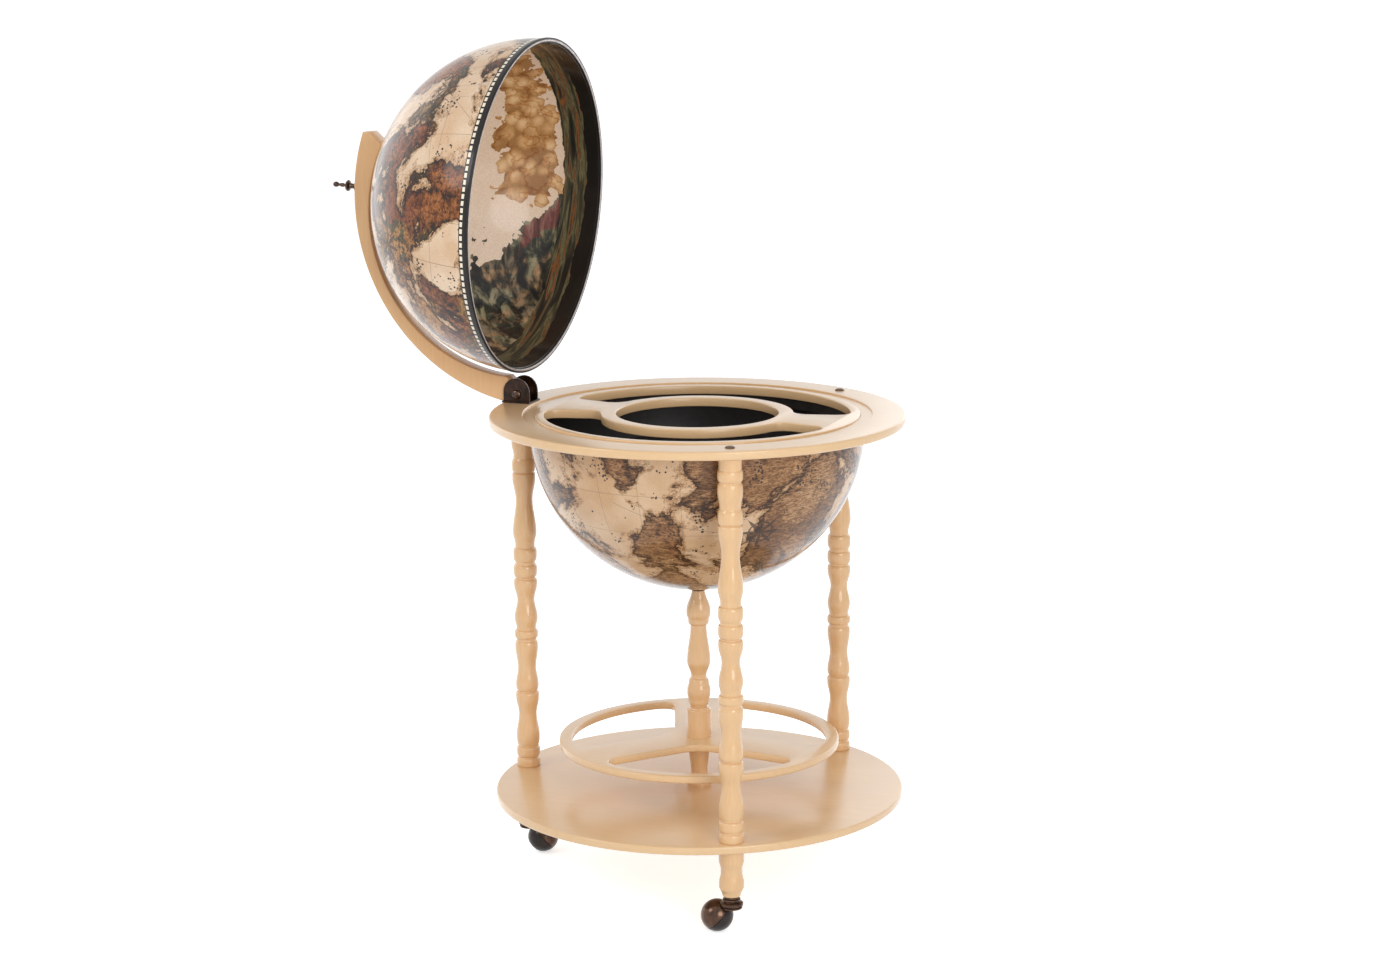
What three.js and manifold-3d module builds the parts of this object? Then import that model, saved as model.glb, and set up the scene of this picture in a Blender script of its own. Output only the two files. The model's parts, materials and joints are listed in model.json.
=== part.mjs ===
// A floor globe bar: a globe whose upper half swings open on a wooden meridian arc, over a lower
// half that holds glasses and bottles, carried by three turned legs, a centre column with a bottle
// rack, a round shelf and three ball casters. Millimetres, +Z up, the hinge towards +Y.
// It is drawn with the lid open. The origin is the middle of the model's box, at floor level.
import * as THREE from 'three';
import { mergeVertices } from 'three/addons/utils/BufferGeometryUtils.js';
import Module from 'manifold-3d';

const wasm = await Module();
wasm.setup();

// Clearances
const fitGap = 0.3;
const runGap = 0.3;
const cutOverrun = 5;

// The stack of heights from the floor up
const casterHeight = 51;
const footHeight = 62;
const shelfThickness = 11;
const legHeight = 506;
const ringThickness = 12;

// The globe: a lower bowl and an upper lid of one radius
const globeRadius = 225;
const bowlWall = 5;
const bowlDrop = 2;
const lidWall = 4.6;
const liningWall = 1;
const lidBandProud = 1.2;
const lidBandHeight = 3;
const hoopWidth = 9;
const hoopHeight = 14;

// Where the legs stand, and how far the boards reach past them
const legOutset = 31;
const ringOverhang = 23;
const shelfOverhang = 22;

// The table ring with the channel that the lid's rim drops into, and the plate inside it
const ringEdge = 3;
const channelMargin = 9;
const channelDepth = 2.5;
const plateInset = 6.5;
const bandClearance = 1.5;
const wellRadius = 109;
const wellWall = 20;
const slotMargin = 13;
const slotCorner = 24;
const slotHalfSpan = THREE.MathUtils.degToRad(77);

// The two boards inside the bowl
const boardThickness = 8;
const glassShelfDepth = 70;
const bottleFloorRise = 49;

// Legs, feet and their fixings
const legRadius = 16.5;
const footRadius = 16.6;
const studRadius = 4;
const studDepth = 24;
const screwRadius = 2.6;
const screwHeadRadius = 5;
const screwHeadHeight = 3;
const screwDepth = 38;
const capRadius = 7;
const capRise = 3;
const capPlug = 4;

// Shelf, rack and centre column
const rackRadius = 191;
const rackThickness = 10;
const rackClearHeight = 58;
const rackTurn = THREE.MathUtils.degToRad(-9.2);
const rackRim = 17;
const webHalfWidth = 34;
const cutoutCorner = 26;
const columnRadius = 17.5;
const columnWasherRadius = 9.2;
const columnWasherHeight = 6;
const tieRodRadius = 4;
const nutRadius = 7.5;
const nutHeight = 6.5;

// The hinge: a steel bracket, a bolt and the foot of the meridian arc
const openAngle = THREE.MathUtils.degToRad(86.2);
const pivotOffset = 2.3;
const pivotRise = 11.4;
const bracketSheet = 2.5;
const bracketBase = 2;
const bracketLip = 4;
const earHalfWidth = 19.2;
const earHeight = 34;
const boltRadius = 4;
const boltHeadRadius = 6.5;
const boltHeadHeight = 3.2;
const bracketScrewOffset = 14;
const bracketScrewRadius = 1.9;
const bracketScrewHead = 3.6;
const bracketScrewLength = 10;

// The meridian arc: a crescent between two circles, each given by its centre beside and above
// the bowl's centre and by how much its radius passes the globe's
const arcThickness = 24;
const arcOuterReach = 51.8;
const arcOuterBeside = -3.4;
const arcOuterAbove = 6.3;
const arcInnerTuck = 9.2;
const arcInnerBeside = 19.6;
const arcInnerAbove = 43.7;
const arcOuterTip = THREE.MathUtils.degToRad(15.5);
const arcMiddleTip = THREE.MathUtils.degToRad(16.4);
const arcInnerTip = THREE.MathUtils.degToRad(22.7);
const arcTipDrop = 10.8;
const arcShoulder = 17;
const arcSeatDepth = 0.8;

// What stands at the pole: a spacer, a finial, and the rod and nut that clamp them
const poleRodRadius = 2;
const spacerRadius = 8;
const finialRadius = 8;
const finialHeight = 39;
const finialBore = 10;
const poleNutRadius = 6.5;
const poleNutHeight = 5;
const poleWasherRadius = 11;
const poleWasherHeight = 1.6;
const poleWasherDrop = 0.4;
const poleRodTail = 2;

// Casters: a ball split by a slanting plane into a hood and a wheel
const ballRadius = 21.5;
const ballTrail = 20.5;
const hoodWall = 2;
const splitOffset = 0;
const axleTilt = THREE.MathUtils.degToRad(41);
const axleToTrail = THREE.MathUtils.degToRad(147);
const axleRadius = 2;
const axleHeadRadius = 3.4;
const axleHeadHeight = 1.3;
const axleBossRadius = 5;
const axleBossEnd = 8;
const axleBlindEnd = 18;
const hubRadius = 8;
const wheelGap = 0.6;
const wheelFlat = 19.8;
const wheelFacets = 5;
const collarRadius = 15;
const collarFloor = 33;
const stemRadius = 4;
const stemLength = 30;
const socketWall = 1.3;
const socketFlange = 9.6;
const socketFlangeHeight = 1;
const casterTrails = {
  rear: THREE.MathUtils.degToRad(-90),
  left: THREE.MathUtils.degToRad(88),
  right: THREE.MathUtils.degToRad(150),
};

// Facets round a circle, and where the globe's rings lie between its rim and its pole
const wideSides = 48;
const globeSides = 36;
const turnedSides = 10;
const smallSides = 10;
const ballSides = 16;
const ringShares = [0, 0.11, 0.22, 0.33, 0.44, 0.55, 0.66, 0.77, 0.88, 0.975, 1];

// Outlines of the turned pieces: each row is a share of the radius and a share of the height,
// from the bottom up
const legShares = [
  [1, 0], [1, 0.018], [0.82, 0.028], [0.96, 0.036], [0.96, 0.05], [0.8, 0.057], [0.92, 0.072],
  [0.98, 0.09], [0.9, 0.115], [0.76, 0.15], [0.8, 0.175], [0.97, 0.2], [0.97, 0.209],
  [0.8, 0.214], [0.95, 0.23], [0.9, 0.25], [0.76, 0.277], [0.8, 0.305], [0.97, 0.34],
  [0.97, 0.345], [0.82, 0.36], [0.97, 0.374], [0.97, 0.381], [0.8, 0.388], [0.97, 0.418],
  [0.88, 0.44], [0.74, 0.472], [0.84, 0.5], [0.97, 0.52], [0.97, 0.526], [0.8, 0.536],
  [0.96, 0.549], [0.96, 0.56], [0.8, 0.577], [0.96, 0.594], [0.96, 0.605], [0.78, 0.626],
  [0.98, 0.655], [0.94, 0.685], [0.74, 0.75], [0.8, 0.785], [0.97, 0.815], [0.97, 0.823],
  [0.84, 0.829], [0.96, 0.837], [0.97, 0.85], [0.85, 0.864], [0.84, 0.878], [0.98, 0.904],
  [1, 0.914], [0.96, 0.928], [0.84, 0.9375], [0.98, 0.945], [1, 0.955], [0.96, 0.963],
  [0.88, 0.969], [0.88, 0.99], [0.9, 1],
];
const footShares = [
  [0.72, 0], [0.8, 0.05], [0.95, 0.15], [0.99, 0.27], [0.95, 0.4], [0.86, 0.55], [0.9, 0.7],
  [0.98, 0.83], [1, 1],
];
const columnShares = [
  [0.98, 0], [0.98, 0.2], [0.8, 0.204], [0.62, 0.215], [0.78, 0.235], [0.94, 0.27],
  [0.92, 0.33], [0.8, 0.37], [0.62, 0.395], [0.62, 0.41], [0.82, 0.44], [0.94, 0.51],
  [0.9, 0.57], [0.74, 0.66], [0.65, 0.77], [0.82, 0.785], [0.82, 0.8], [0.97, 0.84],
  [0.97, 0.87], [0.86, 0.91], [0.6, 0.95], [0.52, 1],
];
const spindleShares = [
  [1, 0], [1, 0.13], [0.68, 0.17], [0.66, 0.3], [0.7, 0.6], [0.82, 0.88], [0.82, 1],
];
const finialShares = [
  [1, 0], [1, 0.06], [0.6, 0.1], [0.46, 0.18], [0.46, 0.33], [0.84, 0.36], [1, 0.4], [0.84, 0.45],
  [0.3, 0.48], [0.26, 0.54], [0.36, 0.6], [0.36, 0.66], [0.24, 0.74], [0.4, 0.81], [0.5, 0.88],
  [0.42, 0.95], [0.2, 1],
];
const spacerShares = [
  [1, 0], [1, 0.12], [0.72, 0.24], [0.66, 0.5], [0.72, 0.76], [1, 0.88], [1, 1],
];
const collarShares = [
  [0.86, 0], [1, 0.1], [1, 0.46], [0.93, 0.6], [0.7, 0.72], [0.65, 1],
];

// Heights and places that follow from the sizes above
const legCircleRadius = globeRadius + legOutset;
const ringRadius = legCircleRadius + ringOverhang;
const shelfRadius = legCircleRadius + shelfOverhang;
const pivotRadius = legCircleRadius + pivotOffset;
const plateRadius = globeRadius - plateInset;
const channelOuterRadius = globeRadius + channelMargin;
const lidBandInner = plateRadius + bandClearance;
const lidBandOuter = globeRadius + lidBandProud;
const slotInnerRadius = wellRadius + wellWall;
const slotOuterRadius = plateRadius - slotMargin;
const cutoutRadius = rackRadius - rackRim;
const cutoutVertex = webHalfWidth / Math.sin(Math.PI / 3);
const cutoutHalfSpan = Math.PI / 3 - Math.asin(webHalfWidth / cutoutRadius);
const arcOuterRadius = globeRadius + arcOuterReach;
const arcInnerRadius = globeRadius - arcInnerTuck;
const shelfBottom = casterHeight + footHeight;
const shelfTop = shelfBottom + shelfThickness;
const ringBottom = shelfTop + legHeight;
const ringTop = ringBottom + ringThickness;
const bowlCentre = ringBottom - bowlDrop;
const bowlInside = globeRadius - bowlWall;
const channelFloor = ringTop - channelDepth;
const lidCentre = channelFloor + fitGap;
const rackBottom = shelfTop + rackClearHeight;
const rackTop = rackBottom + rackThickness;
const pivotHeight = ringTop + pivotRise;
const rearAngle = Math.PI / 2;
const legAngles = { rear: rearAngle, left: rearAngle + 2 * Math.PI / 3, right: rearAngle - 2 * Math.PI / 3 };

// Finishes
const wood = { color: 0xdfba8c, roughness: 0.4, metalness: 0 };
const card = { color: 0xd8c09a, roughness: 0.5, metalness: 0 };
const print = { color: 0xcda98a, roughness: 0.35, metalness: 0 };
const bronze = { color: 0x3a2a20, roughness: 0.4, metalness: 0.8 };
const brownPlastic = { color: 0x735a4b, roughness: 0.5, metalness: 0 };
const blackPlastic = { color: 0x241c1c, roughness: 0.5, metalness: 0 };
const steel = { color: 0xb4b4b8, roughness: 0.35, metalness: 1 };

// A closed mesh with shared corners, no flat slivers, and its faces turned outwards.
function closed(geometry) {
  geometry.deleteAttribute('normal');
  geometry.deleteAttribute('uv');
  const merged = mergeVertices(geometry);
  const place = merged.getAttribute('position');
  const kept = [];
  let volume = 0;
  const corners = [new THREE.Vector3(), new THREE.Vector3(), new THREE.Vector3()];
  for (let i = 0; i < merged.index.count; i += 3) {
    const face = [merged.index.getX(i), merged.index.getX(i + 1), merged.index.getX(i + 2)];
    if (face[0] === face[1] || face[1] === face[2] || face[2] === face[0]) continue;
    face.forEach((vertex, k) => corners[k].fromBufferAttribute(place, vertex));
    volume += corners[0].dot(corners[1].clone().cross(corners[2]));
    kept.push(face);
  }
  merged.setIndex(kept.flatMap((face) => (volume < 0 ? [face[0], face[2], face[1]] : face)));
  return merged;
}

function toSolid(geometry) {
  const body = closed(geometry);
  return new wasm.Manifold(new wasm.Mesh({
    numProp: 3,
    vertProperties: new Float32Array(body.getAttribute('position').array),
    triVerts: new Uint32Array(body.index.array),
  }));
}

function toGeometry(solid) {
  const mesh = solid.getMesh();
  const geometry = new THREE.BufferGeometry();
  geometry.setAttribute('position', new THREE.BufferAttribute(mesh.vertProperties, 3));
  geometry.setIndex(new THREE.BufferAttribute(mesh.triVerts, 1));
  return geometry;
}

function cut(geometry, tools) {
  return toGeometry(tools.reduce((body, tool) => body.subtract(toSolid(tool)), toSolid(geometry)));
}

function join(geometry, others) {
  return toGeometry(others.reduce((body, other) => body.add(toSolid(other)), toSolid(geometry)));
}

// A solid of revolution about Z from [radius, height] rows.
function turned(rows, sides) {
  const geometry = new THREE.LatheGeometry(rows.map(([r, z]) => new THREE.Vector2(r, z)), sides);
  return closed(geometry.rotateX(Math.PI / 2));
}

// A turned piece with a bore: the outline runs up the outside and comes back down the bore.
function turnedBored(rows, bore, sides) {
  const low = rows[0][1];
  const high = rows[rows.length - 1][1];
  return turned([[bore, low], ...rows, [bore, high], [bore, low]], sides);
}

// A turned piece with a blind hole in each end; a depth of zero leaves that end whole.
function turnedDrilled(rows, holeLow, depthLow, holeHigh, depthHigh, sides) {
  const low = rows[0][1];
  const high = rows[rows.length - 1][1];
  const start = depthLow > 0 ? [[0, low + depthLow], [holeLow, low + depthLow], [holeLow, low]] : [[0, low]];
  const end = depthHigh > 0
    ? [[holeHigh, high], [holeHigh, high - depthHigh], [0, high - depthHigh]] : [[0, high]];
  return turned([...start, ...rows, ...end], sides);
}

function scaled(shares, radius, low, height) {
  return shares.map(([r, z]) => [r * radius, low + z * height]);
}

function rod(radius, low, high, sides = smallSides) {
  return turned([[0, low], [radius, low], [radius, high], [0, high]], sides);
}

function washer(inner, outer, low, high, sides = smallSides) {
  return turned([[inner, low], [outer, low], [outer, high], [inner, high], [inner, low]], sides);
}

// Points along an arc, as seen from above.
function arcPoints(radius, from, to, steps) {
  return Array.from({ length: steps + 1 }, (_, i) => {
    const angle = from + (to - from) * i / steps;
    return new THREE.Vector2(radius * Math.cos(angle), radius * Math.sin(angle));
  });
}

function at(radius, angle) {
  return new THREE.Vector2(radius * Math.cos(angle), radius * Math.sin(angle));
}

// A rounded corner: a curve from one point to another that leans on the sharp corner between.
function bend(from, corner, to) {
  return new THREE.QuadraticBezierCurve(from, corner, to).getPoints(3);
}

// The point a given way along the line from one point to another.
function along(from, to, reach) {
  return from.clone().add(to.clone().sub(from).setLength(reach));
}

// A board of a given outline with holes, lying flat between two heights.
function board(outline, holes, low, high) {
  const shape = new THREE.Shape(outline);
  shape.holes = holes.map((hole) => new THREE.Path(hole));
  const geometry = new THREE.ExtrudeGeometry(shape, { depth: high - low, bevelEnabled: false });
  return closed(geometry.translate(0, 0, low));
}

function circle(radius, sides) {
  return arcPoints(radius, 0, 2 * Math.PI, sides).slice(0, -1);
}

// A six-sided nut with a round bore.
function hexNut(inner, outer, low, high) {
  return board(circle(outer, 6), [circle(inner, smallSides)], low, high);
}

function circleAt(radius, angle, distance, sides) {
  const centre = new THREE.Vector2(distance * Math.cos(angle), distance * Math.sin(angle));
  return circle(radius, sides).map((point) => point.add(centre));
}

// A kidney slot round the axis, its ends rounded at the corners.
function kidney(inner, outer, middle, halfSpan, corner, steps) {
  const outerTrim = corner / outer;
  const innerTrim = corner / inner;
  const low = middle - halfSpan;
  const high = middle + halfSpan;
  return [
    ...arcPoints(outer, low + outerTrim, high - outerTrim, steps).slice(0, -1),
    ...bend(at(outer, high - outerTrim), at(outer, high), at(outer - corner, high)),
    ...bend(at(inner + corner, high), at(inner, high), at(inner, high - innerTrim)).slice(0, -1),
    ...arcPoints(inner, high - innerTrim, low + innerTrim, steps).slice(0, -1),
    ...bend(at(inner, low + innerTrim), at(inner, low), at(inner + corner, low)),
    ...bend(at(outer - corner, low), at(outer, low), at(outer, low + outerTrim)).slice(0, -1),
  ];
}

// A point on a hemisphere's outline, a share of the way from its rim to the hole at its pole.
function globePoint(radius, share, centre, up, rim, poleHole) {
  const first = Math.asin(Math.max(rim, 0) / radius);
  const last = Math.acos(poleHole / radius);
  const angle = first + (last - first) * share;
  return [radius * Math.cos(angle), centre + up * radius * Math.sin(angle)];
}

// A hemisphere shell standing rim up or rim down, with a hole at its pole. Its rim lies a given
// way from the centre towards the pole; a rim short of the centre is reached by a straight skirt.
function halfGlobe(outside, inside, centre, up, rim, poleHole) {
  const skirt = (radius) => (rim < 0 ? [[radius, centre + up * rim]] : []);
  const wall = (radius) => ringShares.map((share) => globePoint(radius, share, centre, up, rim, poleHole));
  const rows = [...skirt(outside), ...wall(outside), ...wall(inside).reverse(), ...skirt(inside)];
  return turned([...rows, rows[0]], globeSides);
}

function named(name, geometry, finish) {
  const mesh = new THREE.Mesh(geometry, new THREE.MeshStandardMaterial(finish));
  mesh.name = name;
  return mesh;
}

const bar = new THREE.Group();

// Shelf: a round board with holes for the leg studs and the tie rod.
const shelfHoles = Object.values(legAngles).map((angle) => (
  circleAt(studRadius + fitGap, angle, legCircleRadius, smallSides)));
shelfHoles.push(circle(tieRodRadius + fitGap, smallSides));
bar.add(named('base_shelf', board(circle(shelfRadius, wideSides), shelfHoles, shelfBottom, shelfTop), wood));

// Legs, feet, studs and screws. A stud runs through the shelf and ties a leg to its foot. A screw
// goes down through the table ring into the leg's top.
for (const [side, angle] of Object.entries(legAngles)) {
  const spot = new THREE.Group();
  spot.position.set(legCircleRadius * Math.cos(angle), legCircleRadius * Math.sin(angle), 0);
  const legRows = scaled(legShares, legRadius, shelfTop, legHeight);
  const leg = turnedDrilled(legRows, studRadius + fitGap, studDepth + fitGap, screwRadius + fitGap,
    screwDepth + fitGap, turnedSides);
  spot.add(named(`${side}_leg`, leg, wood));
  const footRows = scaled(footShares, footRadius, casterHeight, footHeight);
  const socketBore = stemRadius + runGap + socketWall + fitGap;
  const foot = turnedDrilled(footRows, socketBore, stemLength + fitGap, studRadius + fitGap,
    studDepth + fitGap, turnedSides);
  spot.add(named(`${side}_foot`, foot, wood));
  spot.add(named(`${side}_leg_stud`, rod(studRadius, shelfBottom - studDepth, shelfTop + studDepth), steel));
  const headTop = ringTop - capPlug - fitGap;
  const screw = turned([
    [0, ringBottom - screwDepth], [screwRadius, ringBottom - screwDepth],
    [screwRadius, headTop - screwHeadHeight], [screwHeadRadius, headTop], [0, headTop],
  ], smallSides);
  spot.add(named(`${side}_leg_screw`, screw, steel));
  bar.add(spot);
}

// Table ring: a turned hoop of wood with rounded edges and the lid's channel on its inside.
const ringBore = plateRadius + fitGap;
const ringBody = turned([
  [ringBore, ringBottom], [ringRadius - ringEdge, ringBottom], [ringRadius, ringBottom + ringEdge],
  [ringRadius, ringTop - ringEdge], [ringRadius - ringEdge / 4, ringTop - ringEdge / 4],
  [ringRadius - ringEdge, ringTop], [channelOuterRadius, ringTop], [channelOuterRadius, channelFloor],
  [ringBore, channelFloor], [ringBore, ringBottom],
], wideSides);
const ringDrills = [];
for (const angle of Object.values(legAngles)) {
  const headTop = ringTop - capPlug - fitGap;
  const drill = turned([
    [0, ringBottom - cutOverrun], [screwRadius + fitGap, ringBottom - cutOverrun],
    [screwRadius + fitGap, headTop - screwHeadHeight - fitGap],
    [screwHeadRadius + fitGap, headTop - fitGap],
    [screwHeadRadius + fitGap, ringTop + cutOverrun], [0, ringTop + cutOverrun],
  ], smallSides);
  ringDrills.push(drill.translate(legCircleRadius * Math.cos(angle), legCircleRadius * Math.sin(angle), 0));
}
for (const step of [-1, 1]) {
  const hole = rod(bracketScrewRadius + fitGap, ringTop - bracketScrewLength - fitGap, ringTop + cutOverrun);
  ringDrills.push(hole.translate(0, pivotRadius + step * bracketScrewOffset, 0));
}
bar.add(named('table_ring', cut(ringBody, ringDrills), wood));

// Screw caps over the two leg screws that the hinge bracket leaves bare.
for (const side of ['left', 'right']) {
  const angle = legAngles[side];
  const cap = turned([
    [0, ringTop - capPlug], [screwHeadRadius, ringTop - capPlug], [screwHeadRadius, ringTop + fitGap / 2],
    [capRadius, ringTop + fitGap / 2], [capRadius * Math.cos(Math.PI / 6), ringTop + capRise / 2],
    [capRadius / 2, ringTop + capRise - fitGap], [0, ringTop + capRise],
  ], smallSides);
  const mesh = named(`${side}_screw_cap`, cap, brownPlastic);
  mesh.position.set(legCircleRadius * Math.cos(angle), legCircleRadius * Math.sin(angle), 0);
  bar.add(mesh);
}

// Insert plate: the serving board with the bottle well and two kidney slots for glasses.
const slots = [0, Math.PI].map((middle) => (
  kidney(slotInnerRadius, slotOuterRadius, middle, slotHalfSpan, slotCorner, 12)));
const plate = board(circle(plateRadius, wideSides), [circle(wellRadius, 32), ...slots], ringBottom, ringTop);
bar.add(named('insert_plate', plate, wood));

// Bowl: the lower half of the globe, with a wooden hoop inside its rim that carries the plate.
const rodHole = tieRodRadius + fitGap;
const bowl = halfGlobe(globeRadius, bowlInside, bowlCentre, -1, -bowlDrop, rodHole);
bar.add(named('bowl_shell', bowl, print));

// The radius of a board whose lower edge lies against the bowl's wall at a given height.
const bowlWallRows = ringShares.map((share) => globePoint(bowlInside, share, bowlCentre, -1, 0, rodHole));
function boardReach(low) {
  const above = bowlWallRows.findLastIndex(([, height]) => height >= low);
  const [upperRadius, upperHeight] = bowlWallRows[above];
  const [lowerRadius, lowerHeight] = bowlWallRows[above + 1];
  const way = (low - lowerHeight) / (upperHeight - lowerHeight);
  return lowerRadius + (upperRadius - lowerRadius) * way - fitGap;
}

const hoopInner = plateRadius - hoopWidth;
const hoopLow = ringBottom - hoopHeight;
bar.add(named('bowl_hoop', washer(hoopInner, boardReach(hoopLow), hoopLow, ringBottom, globeSides), wood));

const glassShelfTop = ringTop - glassShelfDepth;
const glassShelfLow = glassShelfTop - boardThickness;
bar.add(named('glass_shelf',
  washer(wellRadius, boardReach(glassShelfLow), glassShelfLow, glassShelfTop, globeSides), wood));
const bottleFloorTop = bowlCentre - globeRadius + bottleFloorRise;
const bottleFloorLow = bottleFloorTop - boardThickness;
bar.add(named('bottle_floor',
  rod(boardReach(bottleFloorLow), bottleFloorLow, bottleFloorTop, globeSides), wood));

// Bottle rack: a thin round board with three cut-outs, on the centre column.
const vertex = new THREE.Vector2(cutoutVertex, 0);
const lowCorner = at(cutoutRadius, -cutoutHalfSpan);
const highCorner = at(cutoutRadius, cutoutHalfSpan);
const cornerTurn = cutoutCorner / cutoutRadius;
const arcEnd = cutoutHalfSpan - cornerTurn;
const cutout = [
  ...arcPoints(cutoutRadius, -arcEnd, arcEnd, 8).slice(0, -1),
  ...bend(at(cutoutRadius, arcEnd), highCorner, along(highCorner, vertex, cutoutCorner)),
  ...bend(along(vertex, highCorner, cutoutCorner), vertex, along(vertex, lowCorner, cutoutCorner)),
  ...bend(along(lowCorner, vertex, cutoutCorner), lowCorner, at(cutoutRadius, -arcEnd)).slice(0, -1),
];
const cutouts = Object.values(legAngles).map((angle) => (
  cutout.map((point) => point.clone().rotateAround(new THREE.Vector2(), angle + rackTurn))));
const rackHoles = [circle(rodHole, smallSides), ...cutouts];
const rack = board(circle(rackRadius, wideSides), rackHoles, rackBottom, rackTop);
bar.add(named('bottle_rack', rack, wood));

// Centre column in two turned lengths, the washer under the bowl and the tie rod with its nuts.
const bowlLowest = bowlCentre - globeRadius;
const columnTop = bowlLowest - columnWasherHeight;
const columnRows = scaled(columnShares, columnRadius, rackTop, columnTop - rackTop);
bar.add(named('centre_column', turnedBored(columnRows, rodHole, turnedSides), wood));
const spindleRows = scaled(spindleShares, columnRadius, shelfTop, rackClearHeight);
bar.add(named('lower_column', turnedBored(spindleRows, rodHole, turnedSides), wood));
bar.add(named('column_washer', washer(rodHole, columnWasherRadius, columnTop, bowlLowest), blackPlastic));
const topNutLow = bowlLowest + bowlWall + fitGap;
const rodLow = shelfBottom - nutHeight - fitGap;
bar.add(named('tie_rod', rod(tieRodRadius, rodLow, topNutLow + nutHeight), steel));
bar.add(named('tie_rod_top_nut', hexNut(rodHole, nutRadius, topNutLow, topNutLow + nutHeight), steel));
const bottomNut = hexNut(rodHole, nutRadius, shelfBottom - nutHeight, shelfBottom);
bar.add(named('tie_rod_bottom_nut', bottomNut, steel));

// Hinge bracket: a folded plate with two ears that stand across the hinge line.
const earInner = arcThickness / 2 + runGap;
const earOuter = earInner + bracketSheet;
const boltHole = boltRadius + fitGap;
function acrossHinge(geometry) {
  return geometry.rotateY(Math.PI / 2);
}
const earRows = [
  new THREE.Vector2(-earHalfWidth, ringTop), new THREE.Vector2(earHalfWidth, ringTop),
  ...arcPoints(earHalfWidth, 0, Math.PI, 10).map((point) => (
    point.add(new THREE.Vector2(0, ringTop + earHeight - earHalfWidth)))),
];
// A plate whose outline is given as [along Y, height], between two X values.
function standing(points, low, high) {
  const options = { depth: high - low, bevelEnabled: false };
  const geometry = new THREE.ExtrudeGeometry(new THREE.Shape(points), options);
  geometry.rotateX(Math.PI / 2);
  geometry.rotateZ(Math.PI / 2);
  return closed(geometry.translate(low, 0, 0));
}
const baseHalfX = earOuter + bracketLip;
const baseHalfY = earHalfWidth + bracketLip / 4;
const baseTop = ringTop + bracketBase;
const bracketPlate = new THREE.BoxGeometry(2 * baseHalfX, 2 * baseHalfY, bracketBase)
  .translate(0, pivotRadius, ringTop + bracketBase / 2);
const ears = [standing(earRows, -earOuter, -earInner), standing(earRows, earInner, earOuter)]
  .map((ear) => ear.translate(0, pivotRadius, 0));
const boltReach = earOuter + cutOverrun;
const bracketDrills = [
  acrossHinge(rod(boltHole, -boltReach, boltReach)).translate(0, pivotRadius, pivotHeight),
];
for (const step of [-1, 1]) {
  const shank = bracketScrewRadius + fitGap;
  const head = bracketScrewHead + fitGap;
  const sink = turned([
    [0, ringTop - cutOverrun], [shank, ringTop - cutOverrun], [shank, ringTop - fitGap],
    [head, baseTop - fitGap], [head, baseTop + cutOverrun], [0, baseTop + cutOverrun],
  ], smallSides);
  bracketDrills.push(sink.translate(0, pivotRadius + step * bracketScrewOffset, 0));
}
bar.add(named('hinge_bracket', cut(join(bracketPlate, ears), bracketDrills), bronze));
for (const [name, step] of [['inner_bracket_screw', -1], ['outer_bracket_screw', 1]]) {
  const screw = turned([
    [0, ringTop - bracketScrewLength], [bracketScrewRadius, ringTop - bracketScrewLength],
    [bracketScrewRadius, ringTop], [bracketScrewHead, baseTop - fitGap], [0, baseTop - fitGap],
  ], smallSides);
  const mesh = named(name, screw, bronze);
  mesh.position.set(0, pivotRadius + step * bracketScrewOffset, 0);
  bar.add(mesh);
}

// Hinge bolt with its head on one ear and a nut on the other.
const boltEnd = earOuter + fitGap + boltHeadHeight;
const bolt = acrossHinge(turned([
  [0, -boltEnd], [boltHeadRadius / 2, -boltEnd], [boltHeadRadius, -boltEnd + boltHeadHeight / 2],
  [boltHeadRadius, -earOuter - fitGap], [boltRadius, -earOuter - fitGap],
  [boltRadius, boltEnd], [0, boltEnd],
], smallSides)).translate(0, pivotRadius, pivotHeight);
bar.add(named('hinge_bolt', bolt, bronze));
const hingeNut = acrossHinge(hexNut(boltHole, boltHeadRadius, earOuter + fitGap, boltEnd))
  .translate(0, pivotRadius, pivotHeight);
bar.add(named('hinge_nut', hingeNut, bronze));

// The lid and everything that swings with it, drawn closed and then opened about the hinge.
const lid = new THREE.Group();
const poleHole = poleRodRadius + fitGap;
const liningOuter = globeRadius - lidWall - fitGap;
const liningInner = liningOuter - liningWall;
const shellInner = globeRadius - lidWall;
const shell = halfGlobe(globeRadius, shellInner, lidCentre, 1, lidBandHeight, poleHole);
lid.add(named('lid_shell', shell, print));
const lining = halfGlobe(liningOuter, liningInner, lidCentre, 1, lidBandHeight, poleHole);
lid.add(named('lid_lining', lining, card));
const band = washer(lidBandInner, lidBandOuter, lidCentre, lidCentre + lidBandHeight, wideSides);
lid.add(named('lid_band', band, steel));

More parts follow.
